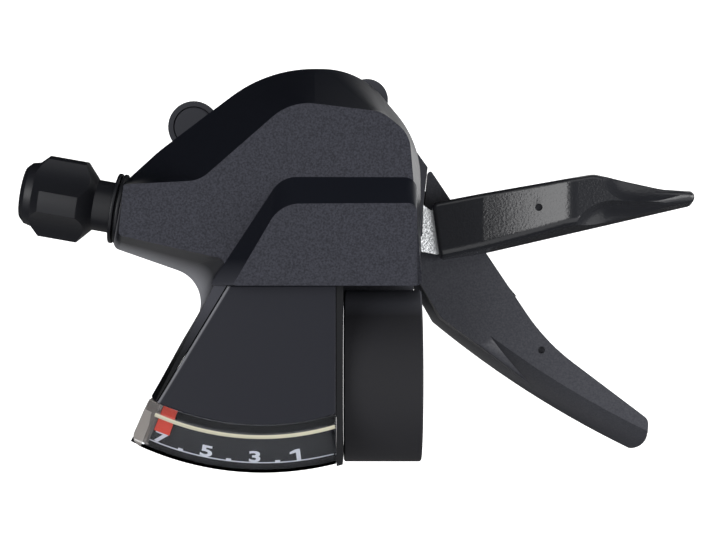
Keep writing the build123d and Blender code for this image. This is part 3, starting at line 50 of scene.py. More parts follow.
# Angle of straight back, from the X axis
BACK_DEG = -90.0
WHITE = "ffffff"

Point = tuple[float, float, float]
Pair = tuple[float, float]


class Body(Enum):
    """The bodies that new pieces ride on."""

    HOUSING = "housing"
    LEVER = "main_lever"
    TRIGGER = "trigger"
    ADJUSTER = "barrel_adjuster"


class HoodFace(IntEnum):
    """Material numbers of the hood."""

    SMOOTH = 0
    GRAIN = 1
    INSIDE = 2
    WALL = 3
    HOLLOW = 4


class LensFace(IntEnum):
    """Material numbers of the window strip."""

    CLEAR = 0
    END = 1
    FOOT = 2


class TrayFace(IntEnum):
    """Material numbers of the tray."""

    FLOOR = 0
    RIM = 1


def srgb(code: str) -> tuple[float, float, float, float]:
    """Linear colour of an sRGB hex code.

    Args:
        code: Six hex digits.

    Returns:
        Red, green, blue and full alpha.
    """
    channels = [int(code[i:i + 2], 16) / 255 for i in (0, 2, 4)]
    linear = [c / 12.92 if c <= 0.04045 else ((c + 0.055) / 1.055) ** 2.4 for c in channels]
    return (linear[0], linear[1], linear[2], 1.0)


def add_node(
    tree: bpy.types.NodeTree,
    kind: str,
    sockets: dict[str | int, object] | None = None,
    **settings: object,
) -> bpy.types.Node:
    """Adds one node to a tree.

    Args:
        tree: The tree that takes the node.
        kind: Blender's name of the node type.
        sockets: Values or output sockets for the node's inputs, by name or index.
        settings: Plain attributes of the node.

    Returns:
        The new node.
    """
    node = tree.nodes.new(kind)
    for key, value in settings.items():
        setattr(node, key, value)
    for key, value in (sockets or {}).items():
        if isinstance(value, bpy.types.NodeSocket):
            tree.links.new(value, node.inputs[key])
        else:
            node.inputs[key].default_value = value
    return node


@dataclass(frozen=True)
class Surface:
    """A named surface, plain unless a kind of surface adds to it."""

    name: str
    colour: str
    roughness: float

    def material(self) -> bpy.types.Material:
        """Makes the surface a material, at the first call only.

        Returns:
            The material of the surface's name.
        """
        found = bpy.data.materials.get(self.name)
        if found:
            return found
        material = bpy.data.materials.new(self.name)
        material.use_nodes = True
        tree = material.node_tree
        tree.nodes.clear()
        plain = {"Base Color": srgb(self.colour), "Roughness": self.roughness}
        shader = add_node(tree, "ShaderNodeBsdfPrincipled", plain | self._sockets())
        add_node(tree, "ShaderNodeOutputMaterial", {"Surface": shader.outputs[0]})
        self._pattern(tree, shader)
        return material

    def _sockets(self) -> dict[str, float]:
        """Further values for the shader's inputs, by name."""
        return {}

    def _pattern(self, tree: bpy.types.NodeTree, shader: bpy.types.Node) -> None:
        """Adds nothing: a plain surface has no pattern.

        Args:
            tree: The material's tree.
            shader: Its surface shader.
        """


@dataclass(frozen=True)
class Finish(Surface):
    """A moulded, plated or painted surface."""

    metallic: float = 0.0
    specular: float = 0.5
    grain_mm: float = 0.0
    grain_height_mm: float = 0.0
    fleck: str = ""
    # The fade paints light and shade into the colour: sheens, highlights and reflected light.
    fade: str = ""
    fade_across: Point = (0.0, 1.0, 0.0)
    fade_mm: Pair = (0.0, 1.0)

    def _sockets(self) -> dict[str, float]:
        """Further values for the shader's inputs, by name."""
        return {"Metallic": self.metallic, "Specular IOR Level": self.specular}

    def _pattern(self, tree: bpy.types.NodeTree, shader: bpy.types.Node) -> None:
        """Adds the grain and the fade, where the finish has them.

        Args:
            tree: The material's tree.
            shader: Its surface shader.
        """
        if self.grain_mm:
            self._grain(tree, shader)
        if self.fade:
            self._fade(tree, shader)

    def _grain(self, tree: bpy.types.NodeTree, shader: bpy.types.Node) -> None:
        """Adds a fine moulded grain and, where named, a paler fleck on its tops.

        Args:
            tree: The material's tree.
            shader: Its surface shader.
        """
        place = add_node(tree, "ShaderNodeTexCoord")
        noise = add_node(
            tree,
            "ShaderNodeTexNoise",
            {
                "Vector": place.outputs["Object"],
                "Scale": 1 / (self.grain_mm * MM),
                "Detail": GRAIN_DETAIL,
            },
        )
        bump = add_node(
            tree,
            "ShaderNodeBump",
            {"Height": noise.outputs[0], "Distance": self.grain_height_mm * MM, "Strength": 1.0},
        )
        tree.links.new(bump.outputs[0], shader.inputs["Normal"])
        if self.fleck:
            self._blend(shader, noise.outputs[0], FLECK_RANGE, self.fleck)

    def _fade(self, tree: bpy.types.NodeTree, shader: bpy.types.Node) -> None:
        """Lets the colour pass into a second one between two places along a direction, as painted
        light.

        Args:
            tree: The material's tree.
            shader: Its surface shader.
        """
        place = add_node(tree, "ShaderNodeTexCoord")
        along = add_node(
            tree,
            "ShaderNodeVectorMath",
            {0: place.outputs["Object"], 1: self.fade_across},
            operation="DOT_PRODUCT",
        )
        first, last = self.fade_mm
        self._blend(shader, along.outputs["Value"], (first * MM, last * MM), self.fade)

    def _blend(
        self, shader: bpy.types.Node, value: bpy.types.NodeSocket, ends: Pair, second: str
    ) -> None:
        """Mixes a second colour into the first as a value runs from one end to the other.

        Args:
            shader: The surface shader that takes the mixed colour.
            value: The socket whose value decides.
            ends: Its values for the first colour alone and for the second alone.
            second: The second colour.
        """
        tree = shader.id_data
        share = add_node(
            tree,
            "ShaderNodeMapRange",
            {"Value": value, "From Min": ends[0], "From Max": ends[1]},
        )
        mix = add_node(
            tree,
            "ShaderNodeMix",
            {"Factor": share.outputs[0], "A": srgb(self.colour), "B": srgb(second)},
            data_type="RGBA",
        )
        tree.links.new(mix.outputs["Result"], shader.inputs["Base Color"])


@dataclass(frozen=True)
class ClearFinish(Surface):
    """Clear moulded plastic.

    Solid polycarbonate has an IOR near 1.58. The strip is a thin shell, so a lower one keeps the
    print in place.
    """

    clarity: float = 1.0
    ior: float = 1.3

    def _sockets(self) -> dict[str, float]:
        """Further values for the shader's inputs, by name."""
        return {"Transmission Weight": self.clarity, "IOR": self.ior}


# Hood: moulded ABS. The spark-eroded mould leaves a matt, finely speckled grey on the level faces.
# The real grain is near 0.1 mm and is drawn at 0.3 mm, which is as fine as the render can show.
HOOD_GRAIN = Finish(
    "abs_spark_eroded",
    "26272e",
    0.6,
    specular=0.2,
    grain_mm=0.3,
    grain_height_mm=0.03,
    fleck="3e3f48",
)
# The slopes come from polished steel: near black, with soft reflections. A painted sheen makes
# them greyer where they run out behind
HOOD_SMOOTH = Finish(
    "abs_polished", "171920", 0.3, specular=0.25, fade="44454c", fade_mm=(19.0, 14.5)
)
# The wall beside the lid carries the same skin, with a painted sheen that dies away towards its
# rear end
HOOD_WALL_PAINTED_SHEEN = Finish(
    "abs_polished_wall_painted_sheen", "44454c", 0.3, specular=0.25, fade="101114", fade_mm=(12.0, 4.0)
)
# The hollow under the nose is painted as lit from the table below: painted light, brightest along
# its foot
HOOD_HOLLOW_PAINTED_LIGHT = Finish(
    "abs_polished_hollow_painted_light",
    "8e8f95",
    0.3,
    specular=0.25,
    fade="26272d",
    fade_across=(0.0, 0.0, 1.0),
    fade_mm=(7.0, 12.5),
)
# Inner walls keep the mould's dull tool marks and give back almost no light
HOOD_INSIDE = Finish("abs_rough_inside", "121316", 0.9, specular=0.0)
# The lid is satin: even and dark. Its rounded left edge has a painted highlight, a pale line
# drawn 0.4 mm wide to show. The direction is square to that edge.
PANEL_SMOOTH = Finish(
    "abs_satin_edge_highlight",
    "9a9ba1",
    0.42,
    specular=0.2,
    fade="25262d",
    fade_across=(0.8558, -0.5173, 0.0),
    fade_mm=(-28.35, -27.95),
)
# Bracket: die-cast aluminium under black paint, dull and even, with a faint orange peel about
# 0.5 mm across. Close to the hood it is paler, a painted reflection of light from the hood.
CASTING = Finish(
    "aluminium_black_painted",
    "2c2c2f",
    0.55,
    specular=0.1,
    grain_mm=0.5,
    grain_height_mm=0.01,
    fade="46474d",
    fade_mm=(10.0, 12.0),
)
# Trigger: glossy nylon with a leather grain, whose highlights break up into wrinkles. The real
# wrinkles are near 0.25 mm and are drawn at 0.4 mm to show.
TRIGGER_GLOSS = Finish(
    "nylon_leather_gloss", "27282c", 0.24, grain_mm=0.4, grain_height_mm=0.035
)
# Thumb lever: glass-filled nylon with a satin skin, grey with a weak broad sheen. Its grain is
# near 0.1 mm and is drawn at 0.3 mm to show.
LEVER_SATIN = Finish(
    "nylon_glass_filled_satin",
    "393a41",
    0.38,
    specular=0.35,
    grain_mm=0.3,
    grain_height_mm=0.016,
    fleck="48494f",
)
# Knob: turned-smooth acetal, black with a waxy sheen on its lobes
KNOB_SATIN = Finish("acetal_black_satin", "1b1c21", 0.4, specular=0.35)
# Lower mouldings: plain nylon straight from the mould, matt black
UNDER_MATT = Finish("nylon_matt", "121316", 0.6, specular=0.2)
# Stamped steel under bright zinc: a pale metal whose grains sparkle. They are near 0.1 mm and are
# drawn at 0.28 mm, and steep, to show.
ZINC = Finish(
    "steel_zinc_plated", "f2f4f6", 0.42, metallic=1.0, grain_mm=0.28, grain_height_mm=0.24
)
# Screws and pins: nickel-plated steel, mid grey and smooth
BOLT_STEEL = Finish("steel_nickel_plated", "7c7e80", 0.35, metallic=1.0)
# Core of the thumb lever: steel under black zinc, a dark metal that stays dull
BLACK_ZINC = Finish("steel_black_zinc", "34353a", 0.5, metallic=0.6)
# Springs: drawn wire, bright and smooth
SPRING_STEEL = Finish("spring_steel_drawn", "8c8e90", 0.3, metallic=1.0)
# Drum: natural acetal, off-white and waxy
DRUM_ACETAL = Finish("acetal_natural", "b3b2ac", 0.5)
# Dial: matt black moulding with white pad print that covers well and doesn't shine
DIAL_MATT = Finish("abs_matt_black", "101218", 0.6)
DIAL_PRINT = Finish("ink_pad_printed", "dfe0e6", 0.6)
# Pointer: red ABS, plain from the mould
POINTER_RED = Finish("abs_red", "da3d22", 0.5)
# Window strip: polished polycarbonate, clear over the dial. Its cut end is milky, the end's under
# side is closed to the light, and a pale line along its ridge is a painted highlight.
LENS_CLEAR = ClearFinish("polycarbonate_clear", "f1f3f7", 0.03)
LENS_END = ClearFinish("polycarbonate_milky", "c4bfbb", 0.3, clarity=0.5)
LENS_FOOT = Finish("polycarbonate_backed", "8a8683", 0.5)
LENS_RIDGE_HIGHLIGHT = Finish("polycarbonate_ridge_highlight", "d6d2bc", 0.3)
# Rim of the tray: smoother and paler than its matt floor, the paler colour a painted highlight
TRAY_RIM_HIGHLIGHT = Finish("nylon_rim_highlight", "66676d", 0.4)
# Cards round the object: matt board that shows no light of its own
CARD_BLACK = Finish("flag_black", "050505", 1.0, specular=0.0)
CARD_GREY = Finish("flag_grey", "8c8c8c", 1.0, specular=0.0)
CARD_DARK = Finish("flag_dark", "3c3c3c", 1.0, specular=0.0)


def link_object(name: str, mesh: bpy.types.Mesh) -> bpy.types.Object:
    """Puts a mesh into the scene at the origin.

    Args:
        name: Name of the piece.
        mesh: Its mesh, in metres in the shared frame.

    Returns:
        The new object.
    """
    obj = bpy.data.objects.new(name, mesh)
    bpy.context.scene.collection.objects.link(obj)
    return obj


def baked(obj: bpy.types.Object) -> bpy.types.Object:
    """Turns an object's modifiers into plain mesh.

    Args:
        obj: The object, whose modifiers are removed.

    Returns:
        The same object.
    """
    graph = bpy.context.evaluated_depsgraph_get()
    mesh = bpy.data.meshes.new_from_object(obj.evaluated_get(graph), depsgraph=graph)
    obj.modifiers.clear()
    obj.data = mesh
    return obj


@dataclass(frozen=True)
class Softening:
    """Rounds the crisp edges of a moulded or cast solid.

    Edges that turn by more than angle_deg and lie ahead of from_y_mm are rounded. Before that, the
    solid's loose triangles are merged within merge_mm and joined to faces where they turn by less
    than flat_deg. Edges that turn by less than smooth_deg are shaded smooth.
    """

    width_mm: float
    angle_deg: float = 22.0
    from_y_mm: float = -math.inf
    segments: int = 3
    profile: float = 0.5
    merge_mm: float = 0.002
    flat_deg: float = 0.4
    smooth_deg: float = 35.0

    def copy(self, node: str, name: str) -> bpy.types.Object:
        """A copy of a CAD solid with rounded edges.

        Args:
            node: The CAD node.
            name: Name of the new piece.

        Returns:
            The new object, with smooth normals.
        """
        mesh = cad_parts[node].data.copy()
        mesh.materials.clear()
        work = bmesh.new()
        work.from_mesh(mesh)
        bmesh.ops.remove_doubles(work, verts=work.verts, dist=self.merge_mm * MM)
        flat = math.radians(self.flat_deg)
        bmesh.ops.dissolve_limit(work, angle_limit=flat, verts=work.verts, edges=work.edges)
        if self.width_mm:
            self._round(work)
        for face in work.faces:
            face.smooth = True
        limit = math.radians(self.smooth_deg)
        for edge in work.edges:
            edge.smooth = len(edge.link_faces) == 2 and edge.calc_face_angle() < limit
        work.to_mesh(mesh)
        work.free()
        obj = link_object(name, mesh)
        weighted = obj.modifiers.new("weighted", "WEIGHTED_NORMAL")
        weighted.keep_sharp = True
        return baked(obj)

    def _round(self, work: bmesh.types.BMesh) -> None:
        """Rounds the crisp edges.

        Args:
            work: The mesh in work.
        """
        bmesh.ops.bevel(
            work,
            geom=[edge for edge in work.edges if self._is_crisp(edge)],
            offset=self.width_mm * MM,
            offset_type="OFFSET",
            segments=self.segments,
            profile=self.profile,
            affect="EDGES",
            clamp_overlap=True,
        )

    def _is_crisp(self, edge: bmesh.types.BMEdge) -> bool:
        """Tells whether an edge is to be rounded.

        Args:
            edge: An edge of the mesh in work.

        Returns:
            True if it stands between two faces at a clear angle, ahead of the line.
        """
        ahead = sum(vertex.co.y for vertex in edge.verts) / 2 > self.from_y_mm * MM
        paired = len(edge.link_faces) == 2
        return ahead and paired and edge.calc_face_angle() > math.radians(self.angle_deg)


def dress(
    obj: bpy.types.Object, node: str, body: Body, slot: str, *finishes: Surface
) -> None:
    """Gives a piece its finishes and lets it stand for its CAD node.

    Args:
        obj: The new piece.
        node: The CAD node that it stands for.
        body: The body that it rides on.
        slot: The record's material slot; not used.
        finishes: One finish for each of the mesh's material numbers.
    """
    obj.data.materials.clear()
    for finish in finishes:
        obj.data.materials.append(finish.material())
    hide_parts(node)
    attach(obj, body.value)
    LOG.info("%s stands for %s", obj.name, node)


def paint(finish: Surface, *nodes: str) -> None:
    """Gives CAD nodes that stay as they are a finish.

    Args:
        finish: The finish.
        nodes: The CAD nodes.
    """
    for node in nodes:
        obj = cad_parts[node]
        if not obj.material_slots:
            obj.data.materials.append(finish.material())
        for slot in obj.material_slots:
            slot.material = finish.material()
        LOG.info("%s painted %s", node, finish.name)


@dataclass(frozen=True)
class Hood:
    """Top cover with grained level faces and polished slopes, and the lid behind it.

    The cosines, hollow_rise and hollow_ahead are limits for the parts of a face's normal.
    """

    edge_mm: float = 0.35
    edge_deg: float = 16.0
    edge_from_mm: float = 13.9
    rear_wall_mm: float = 14.9
    level_cosine: float = 0.93
    inside_cosine: float = 0.6
    hollow_right_mm: float = -20.0
    hollow_rear_mm: float = 10.0
    hollow_rise: Pair = (0.1, 0.6)
    hollow_ahead: float = 0.3

    def build(self) -> None:
        """Softens the cover, gives each face its finish and dresses what closes the hood."""
        soft = Softening(self.edge_mm, self.edge_deg, self.edge_from_mm)
        cover = soft.copy("top_cover", "hood")
        finishes = (HOOD_SMOOTH, HOOD_GRAIN, HOOD_INSIDE, HOOD_WALL_PAINTED_SHEEN, HOOD_HOLLOW_PAINTED_LIGHT)
        dress(cover, "top_cover", Body.HOUSING, "hood", *finishes)
        for face in cover.data.polygons:
            face.material_index = self._kind(face)
        panel = Softening(0.0).copy("indicator_panel", "panel")
        dress(panel, "indicator_panel", Body.HOUSING, "panel", PANEL_SMOOTH)
        paint(UNDER_MATT, "lower_cover")
        paint(BOLT_STEEL, "cover_screws", "tray_screws")

    def _kind(self, face: bpy.types.MeshPolygon) -> HoodFace:
        """Sorts a face by its place and the way it looks.

        Args:
            face: A face of the cover.

        Returns:
            Its kind of surface.
        """
        ahead = face.center.y > self.rear_wall_mm * MM
        if ahead and face.normal.z > self.level_cosine:
            return HoodFace.GRAIN
        if self._is_hollow(face):
            return HoodFace.HOLLOW
        if ahead:
            return HoodFace.SMOOTH
        return HoodFace.INSIDE if face.normal.x > self.inside_cosine else HoodFace.WALL

    def _is_hollow(self, face: bpy.types.MeshPolygon) -> bool:
        """Tells whether a face belongs to the hollow under the nose.

        Args:
            face: A face of the cover.

        Returns:
            True if it lies there, steep and turned to the left.
        """
        low, high = self.hollow_rise
        steep = low < face.normal.z < high
        left = face.normal.x < 0.0 and face.normal.y < self.hollow_ahead
        beside = face.center.x < self.hollow_right_mm * MM
        before = face.center.y > self.hollow_rear_mm * MM
        return steep and left and beside and before


@dataclass(frozen=True)
class Bracket:
    """Clamp ring with its bolt, the deck and the cap."""

    edge_mm: float = 0.3
    cap_edge_mm: float = 0.2

    def build(self) -> None:
        """Softens the casting and paints its fasteners."""
        casting = Softening(self.edge_mm).copy("clamp_bracket", "bracket")
        dress(casting, "clamp_bracket", Body.HOUSING, "casting", CASTING)
        cap = Softening(self.cap_edge_mm).copy("cable_cap", "cap")
        dress(cap, "cable_cap", Body.HOUSING, "casting", CASTING)
        paint(BOLT_STEEL, "clamp_bolt", "clamp_nut", "axle_clip", "axle_nut", "catch_pin")


@dataclass(frozen=True)
class Levers:
    """Release trigger and thumb lever, moulded over plated cores, and what they drive."""

    finger_edge_mm: float = 0.25
    finger_edge_deg: float = 30.0
    thumb_edge_mm: float = 0.6
    thumb_edge_deg: float = 24.0

    def build(self) -> None:
        """Softens the moulded arms and paints the mechanism."""
        finger = Softening(self.finger_edge_mm, self.finger_edge_deg)
        arm = finger.copy("trigger_arm", "finger_arm")
        dress(arm, "trigger_arm", Body.TRIGGER, "trigger", TRIGGER_GLOSS)
        thumb = Softening(self.thumb_edge_mm, self.thumb_edge_deg)
        arm = thumb.copy("main_lever_arm", "thumb_arm")
        dress(arm, "main_lever_arm", Body.LEVER, "lever", LEVER_SATIN)
        paint(ZINC, "trigger_plate", "feed_pawl", "catch_pawl", "ratchet_plate")
        paint(ZINC, "main_axle", "axle_washer")
        paint(BLACK_ZINC, "main_lever_plate")
        paint(BOLT_STEEL, "feed_pawl_pin", "drive_pin")
        paint(SPRING_STEEL, "drum_spring", "lever_spring")
        paint(DRUM_ACETAL, "cable_drum")
        paint(UNDER_MATT, "lever_spacer")


@dataclass(frozen=True)
class Adjuster:
    """Lobed knob, its barrel and the seat in the nose."""

    knob_edge_mm: float = 0.4
    knob_edge_deg: float = 20.0
    seat_edge_mm: float = 0.15

    def build(self) -> None:
        """Softens the knob and the seat, and paints the barrel."""
        knob = Softening(self.knob_edge_mm, self.knob_edge_deg).copy("adjuster_knob", "knob")
        dress(knob, "adjuster_knob", Body.ADJUSTER, "knob", KNOB_SATIN)
        seat = Softening(self.seat_edge_mm).copy("adjuster_seat", "seat")
        dress(seat, "adjuster_seat", Body.HOUSING, "knob", KNOB_SATIN)
        paint(UNDER_MATT, "adjuster_barrel")


def polar(x: float, y: float) -> Pair:
    """Distance of a place from an axis, and its angle in degrees to the left of straight back."""
    return math.hypot(x, y), math.degrees(math.atan2(-x, -y))


@dataclass(frozen=True)
class Indicator:
    """Dial with its print, the red pointer and the clear strip over them.

    Radii and angles run round the needle's axis. Angles are to the left of straight back.
    """

    axis_mm: Pair = (-19.0, 32.3)
    dial_inner_mm: float = 40.8
    dial_outer_mm: float = 46.2
    dial_inner_z_mm: float = 12.2
    dial_outer_z_mm: float = 10.0
    print_lift_mm: float = 0.03
    digits: tuple[tuple[str, float], ...] = (("7", 21.4), ("5", 11.6), ("3", 1.7), ("1", -6.8))
    digit_radius_mm: float = 44.31
    digit_height_mm: float = 1.8
    digit_stretch: float = 1.8
    digit_weight: float = 0.03
    line_radius_mm: float = 45.27
    line_width_mm: float = 0.18
    line_ends_deg: Pair = (23.9, -14.2)
    ribbon_steps: int = 48
    tick_count: int = 3
    tick_radius_mm: float = 45.05
    tick_left_deg: float = 16.8
    tick_step_deg: float = 9.85
    tick_size_mm: Point = (0.8, 0.3, 1.0)
    tick_arc_points: int = 64
    edge_mm: float = 0.2
    end_deg: float = 23.85
    under_deg: float = 23.0
    under_cosine: float = -0.5
    gap_inner_mm: float = 38.4
    gap_ends_deg: Pair = (23.95, 23.3)
    ridge_radius_mm: float = 41.0
    ridge_highlight_width_mm: float = 0.6
    ridge_z_mm: float = 16.3
    ridge_highlight_ends_deg: Pair = (23.9, -16.2)
    foot_radius_mm: float = 47.0
    foot_z_mm: float = 12.2

    def build(self) -> None:
        """Builds the print and dresses the strip and the tray."""
        paint(DIAL_MATT, "indicator_dial", "needle")
        paint(POINTER_RED, "needle_tip")
        self._strip()
        self._ridge()
        self._end_wall()
        self._tray()
        for text, angle in self.digits:
            self._lay(text, self._one() if text == "1" else self._figure(text), angle)
        self._line()
        self._ticks()

    def _strip(self) -> None:
        """Dresses the clear strip, with a milky left end that is closed from below."""
        lens = Softening(self.edge_mm).copy("indicator_lens", "lens")
        finishes = (LENS_CLEAR, LENS_END, LENS_FOOT)
        dress(lens, "indicator_lens", Body.HOUSING, "lens", *finishes)
        for face in lens.data.polygons:
            _, angle = self._round_axis(face)
            kind = LensFace.CLEAR
            if face.normal.z < self.under_cosine and angle > self.under_deg:
                kind = LensFace.FOOT
            elif angle > self.end_deg:
                kind = LensFace.END
            face.material_index = kind

    def _ridge(self) -> None:
        """Lays a painted highlight, a pale line along the strip's ridge, bent over it."""
        run = self.foot_radius_mm - self.ridge_radius_mm
        fall = (self.ridge_z_mm - self.foot_z_mm) / run
        rails = []
        for reach in (-self.ridge_highlight_width_mm / 2, 0.0, self.ridge_highlight_width_mm / 2):
            height = self.ridge_z_mm + self.print_lift_mm - max(reach, 0.0) * fall
            rails.append((self.ridge_radius_mm + reach, height))
        self._ribbon("ridge_highlight", rails, self.ridge_highlight_ends_deg, LENS_RIDGE_HIGHLIGHT)

    def _end_wall(self) -> None:
        """Closes the narrow gap between the dial's left end and the strip's end."""
        rails = [(self.gap_inner_mm, self._dial_height(self.dial_inner_mm))]
        rails += self._dial_rails(self.dial_inner_mm, self.dial_outer_mm)
        self._ribbon("end_wall", rails, self.gap_ends_deg, LENS_FOOT)

    def _tray(self) -> None:
        """Dresses the tray, with a painted highlight on its rim behind the dial."""
        tray = Softening(self.edge_mm).copy("indicator_tray", "tray")
        dress(tray, "indicator_tray", Body.HOUSING, "under_cover", UNDER_MATT, TRAY_RIM_HIGHLIGHT)
        for face in tray.data.polygons:
            radius, _ = self._round_axis(face)
            face.material_index = TrayFace.RIM if radius > self.dial_outer_mm else TrayFace.FLOOR

    def _round_axis(self, face: bpy.types.MeshPolygon) -> Pair:
        """A face's distance in millimetres from the needle's axis, and its angle."""
        return polar(face.center.x / MM - self.axis_mm[0], face.center.y / MM - self.axis_mm[1])

    def _line(self) -> None:
        """Prints the white line under the numbers."""
        half = self.line_width_mm / 2
        rails = self._dial_rails(self.line_radius_mm - half, self.line_radius_mm + half)
        self._ribbon("dial_line", rails, self.line_ends_deg, DIAL_PRINT)

    def _ticks(self) -> None:
        """Prints the short marks between the numbers."""
        tree = bpy.data.node_groups.new("dial_ticks", "GeometryNodeTree")
        tree.interface.new_socket("Geometry", in_out="OUTPUT", socket_type="NodeSocketGeometry")
        values = {
            "Count": ("NodeSocketInt", self.tick_count),
            "Radius": ("NodeSocketFloat", self.tick_radius_mm * MM),
            "Size": ("NodeSocketVector", [size * MM for size in self.tick_size_mm]),
        }
        keys = {}
        for label, (kind, _) in values.items():
            socket = tree.interface.new_socket(label, in_out="INPUT", socket_type=kind)
            keys[label] = socket.identifier
        self._set_out(tree)
        ticks = link_object("dial_ticks", bpy.data.meshes.new("dial_ticks"))
        modifier = ticks.modifiers.new("ticks", "NODES")
        modifier.node_group = tree
        for label, (_, value) in values.items():
            modifier[keys[label]] = value
        baked(ticks)
        for vertex in ticks.data.vertices:
            radius, angle = polar(vertex.co.x, vertex.co.y)
            vertex.co = self._on_dial(radius / MM, angle)
        self._ride(ticks)

    def _set_out(self, tree: bpy.types.NodeTree) -> None:
        """Fills a node group that sets marks out evenly along an arc round the origin.

        Args:
            tree: The group, with inputs for the marks' count, radius and size.
        """
        given = add_node(tree, "NodeGroupInput")
        arc = add_node(
            tree,
            "GeometryNodeCurveArc",
            {
                "Radius": given.outputs["Radius"],
                "Start Angle": math.radians(BACK_DEG - self.tick_left_deg),
                "Sweep Angle": math.radians(self.tick_step_deg * (self.tick_count - 1)),
                "Resolution": self.tick_arc_points,
            },
            mode="RADIUS",
        )
        points = add_node(
            tree,
            "GeometryNodeCurveToPoints",
            {"Curve": arc.outputs["Curve"], "Count": given.outputs["Count"]},
            mode="COUNT",
        )
        mark = add_node(
            tree,
            "GeometryNodeMeshGrid",
            {"Vertices X": 2, "Vertices Y": 2, "Size X": 1.0, "Size Y": 1.0},
        )
        along = add_node(
            tree,
            "FunctionNodeAlignRotationToVector",
            {"Vector": points.outputs["Tangent"]},
            axis="X",
            pivot_axis="Z",
        )
        marks = add_node(
            tree,
            "GeometryNodeInstanceOnPoints",
            {
                "Points": points.outputs["Points"],
                "Instance": mark.outputs["Mesh"],
                "Rotation": along.outputs[0],
                "Scale": given.outputs["Size"],
            },
        )
        real = add_node(tree, "GeometryNodeRealizeInstances", {"Geometry": marks.outputs[0]})
        done = add_node(
            tree,
            "GeometryNodeSetMaterial",
            {"Geometry": real.outputs[0], "Material": DIAL_PRINT.material()},
        )
        add_node(tree, "NodeGroupOutput", {"Geometry": done.outputs[0]})

    def _figure(self, text: str) -> bpy.types.Mesh:
        """A gear number as flat mesh.

        Args:
            text: The number.

        Returns:
            Its mesh, in shares of the font's size.
        """
        curve = bpy.data.curves.new("digit", "FONT")
        curve.body = text
        curve.align_x = "CENTER"
        curve.align_y = "CENTER"
        curve.size = 1.0
        curve.offset = self.digit_weight
        flat = bpy.data.objects.new("digit", curve)
        bpy.context.scene.collection.objects.link(flat)
        graph = bpy.context.evaluated_depsgraph_get()
        mesh = bpy.data.meshes.new_from_object(flat.evaluated_get(graph))
        bpy.data.objects.remove(flat)
        return mesh

    def _one(self) -> bpy.types.Mesh:
        """The figure one as flat mesh, with a flag and without the foot that the font gives it.

        Returns:
            Its mesh, in shares of the font's size.
        """
        flag = [(-0.24, 0.46), (-0.24, 0.6), (0.0, 0.76)]
        stem = [(0.15, 0.76), (0.15, 0.0), (-0.01, 0.0), (-0.01, 0.54)]
        points = [(x, y, 0.0) for x, y in flag + stem]
        mesh = bpy.data.meshes.new("digit")
        mesh.from_pydata(points, [], [tuple(range(len(points)))[::-1]])
        return mesh

    def _lay(self, text: str, mesh: bpy.types.Mesh, left_deg: float) -> None:
        """Lays a flat figure onto the dial.

        Args:
            text: The number.
            mesh: Its flat form.
            left_deg: Its place on the dial.
        """
        rows = [vertex.co.y for vertex in mesh.vertices]
        middle = (max(rows) + min(rows)) / 2
        scale = self.digit_height_mm / (max(rows) - min(rows))
        for vertex in mesh.vertices:
            radius = self.digit_radius_mm - (vertex.co.y - middle) * scale
            angle = left_deg - math.degrees(vertex.co.x * scale * self.digit_stretch / radius)
            vertex.co = self._on_dial(radius, angle)
        mesh.materials.append(DIAL_PRINT.material())
        self._ride(link_object("digit_" + text, mesh))

    def _dial_height(self, radius_mm: float) -> float:
        """The level of print on the dial's sloping face.

        Args:
            radius_mm: Distance from the axis.

        Returns:
            The level in millimetres.
        """
        share = (radius_mm - self.dial_inner_mm) / (self.dial_outer_mm - self.dial_inner_mm)
        drop = share * (self.dial_outer_z_mm - self.dial_inner_z_mm)
        return self.dial_inner_z_mm + drop + self.print_lift_mm

    def _dial_rails(self, *radii_mm: float) -> list[Pair]:
        """Radius and level of lines on the dial's face, by their distances from the axis."""
        return [(radius, self._dial_height(radius)) for radius in radii_mm]

    def _place(self, radius_mm: float, left_deg: float, height_mm: float) -> Vector:
        """A point round the needle's axis.

        Args:
            radius_mm: Distance from the axis.
            left_deg: Angle to the left of straight back.
            height_mm: Its level.

        Returns:
            The point in metres.
        """
        turn = math.radians(left_deg)
        x = self.axis_mm[0] - radius_mm * math.sin(turn)
        y = self.axis_mm[1] - radius_mm * math.cos(turn)
        return Vector((x, y, height_mm)) * MM

    def _on_dial(self, radius_mm: float, left_deg: float) -> Vector:
        """A point just over the dial's face, by its distance from the axis and its angle."""
        return self._place(radius_mm, left_deg, self._dial_height(radius_mm))

    def _ribbon(
        self, name: str, rails: list[Pair], ends_deg: Pair, finish: Surface
    ) -> None:
        """Lays a thin ribbon along an arc round the needle's axis.

        Args:
            name: Name of the piece.
            rails: Radius and level of each long edge, from the inside out.
            ends_deg: Angles of its left and right ends.
            finish: Its finish.
        """
        points = []
        left, right = ends_deg
        for step in range(self.ribbon_steps + 1):
            angle = left + (right - left) * step / self.ribbon_steps
            points += [self._place(radius, angle, height) for radius, height in rails]
        faces = []
        count = len(rails)
        for step in range(self.ribbon_steps):
            for rail in range(count - 1):
                first = step * count + rail
                faces.append((first, first + 1, first + count + 1, first + count))
        mesh = bpy.data.meshes.new(name)
        mesh.from_pydata(points, [], faces)
        mesh.materials.append(finish.material())
        self._ride(link_object(name, mesh))

    def _ride(self, obj: bpy.types.Object) -> None:
        """Fixes a printed mark or a ribbon to the housing.

        Args:
            obj: The piece.
        """
        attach(obj, Body.HOUSING.value)
        LOG.info("%s printed", obj.name)


@dataclass(frozen=True)
class SoftBox:
    """A square soft light that faces the object."""

    name: str
    place_mm: Point
    size_mm: float
    power_w: float

    def build(self) -> None:
        """Adds the light to the scene."""
        data = bpy.data.lights.new(self.name, "AREA")
        data.size = self.size_mm * MM
        data.energy = self.power_w
        light = bpy.data.objects.new(self.name, data)
        light.location = Vector(self.place_mm) * MM
        light.rotation_euler = Vector(self.place_mm).to_track_quat("Z", "Y").to_euler()
        bpy.context.scene.collection.objects.link(light)


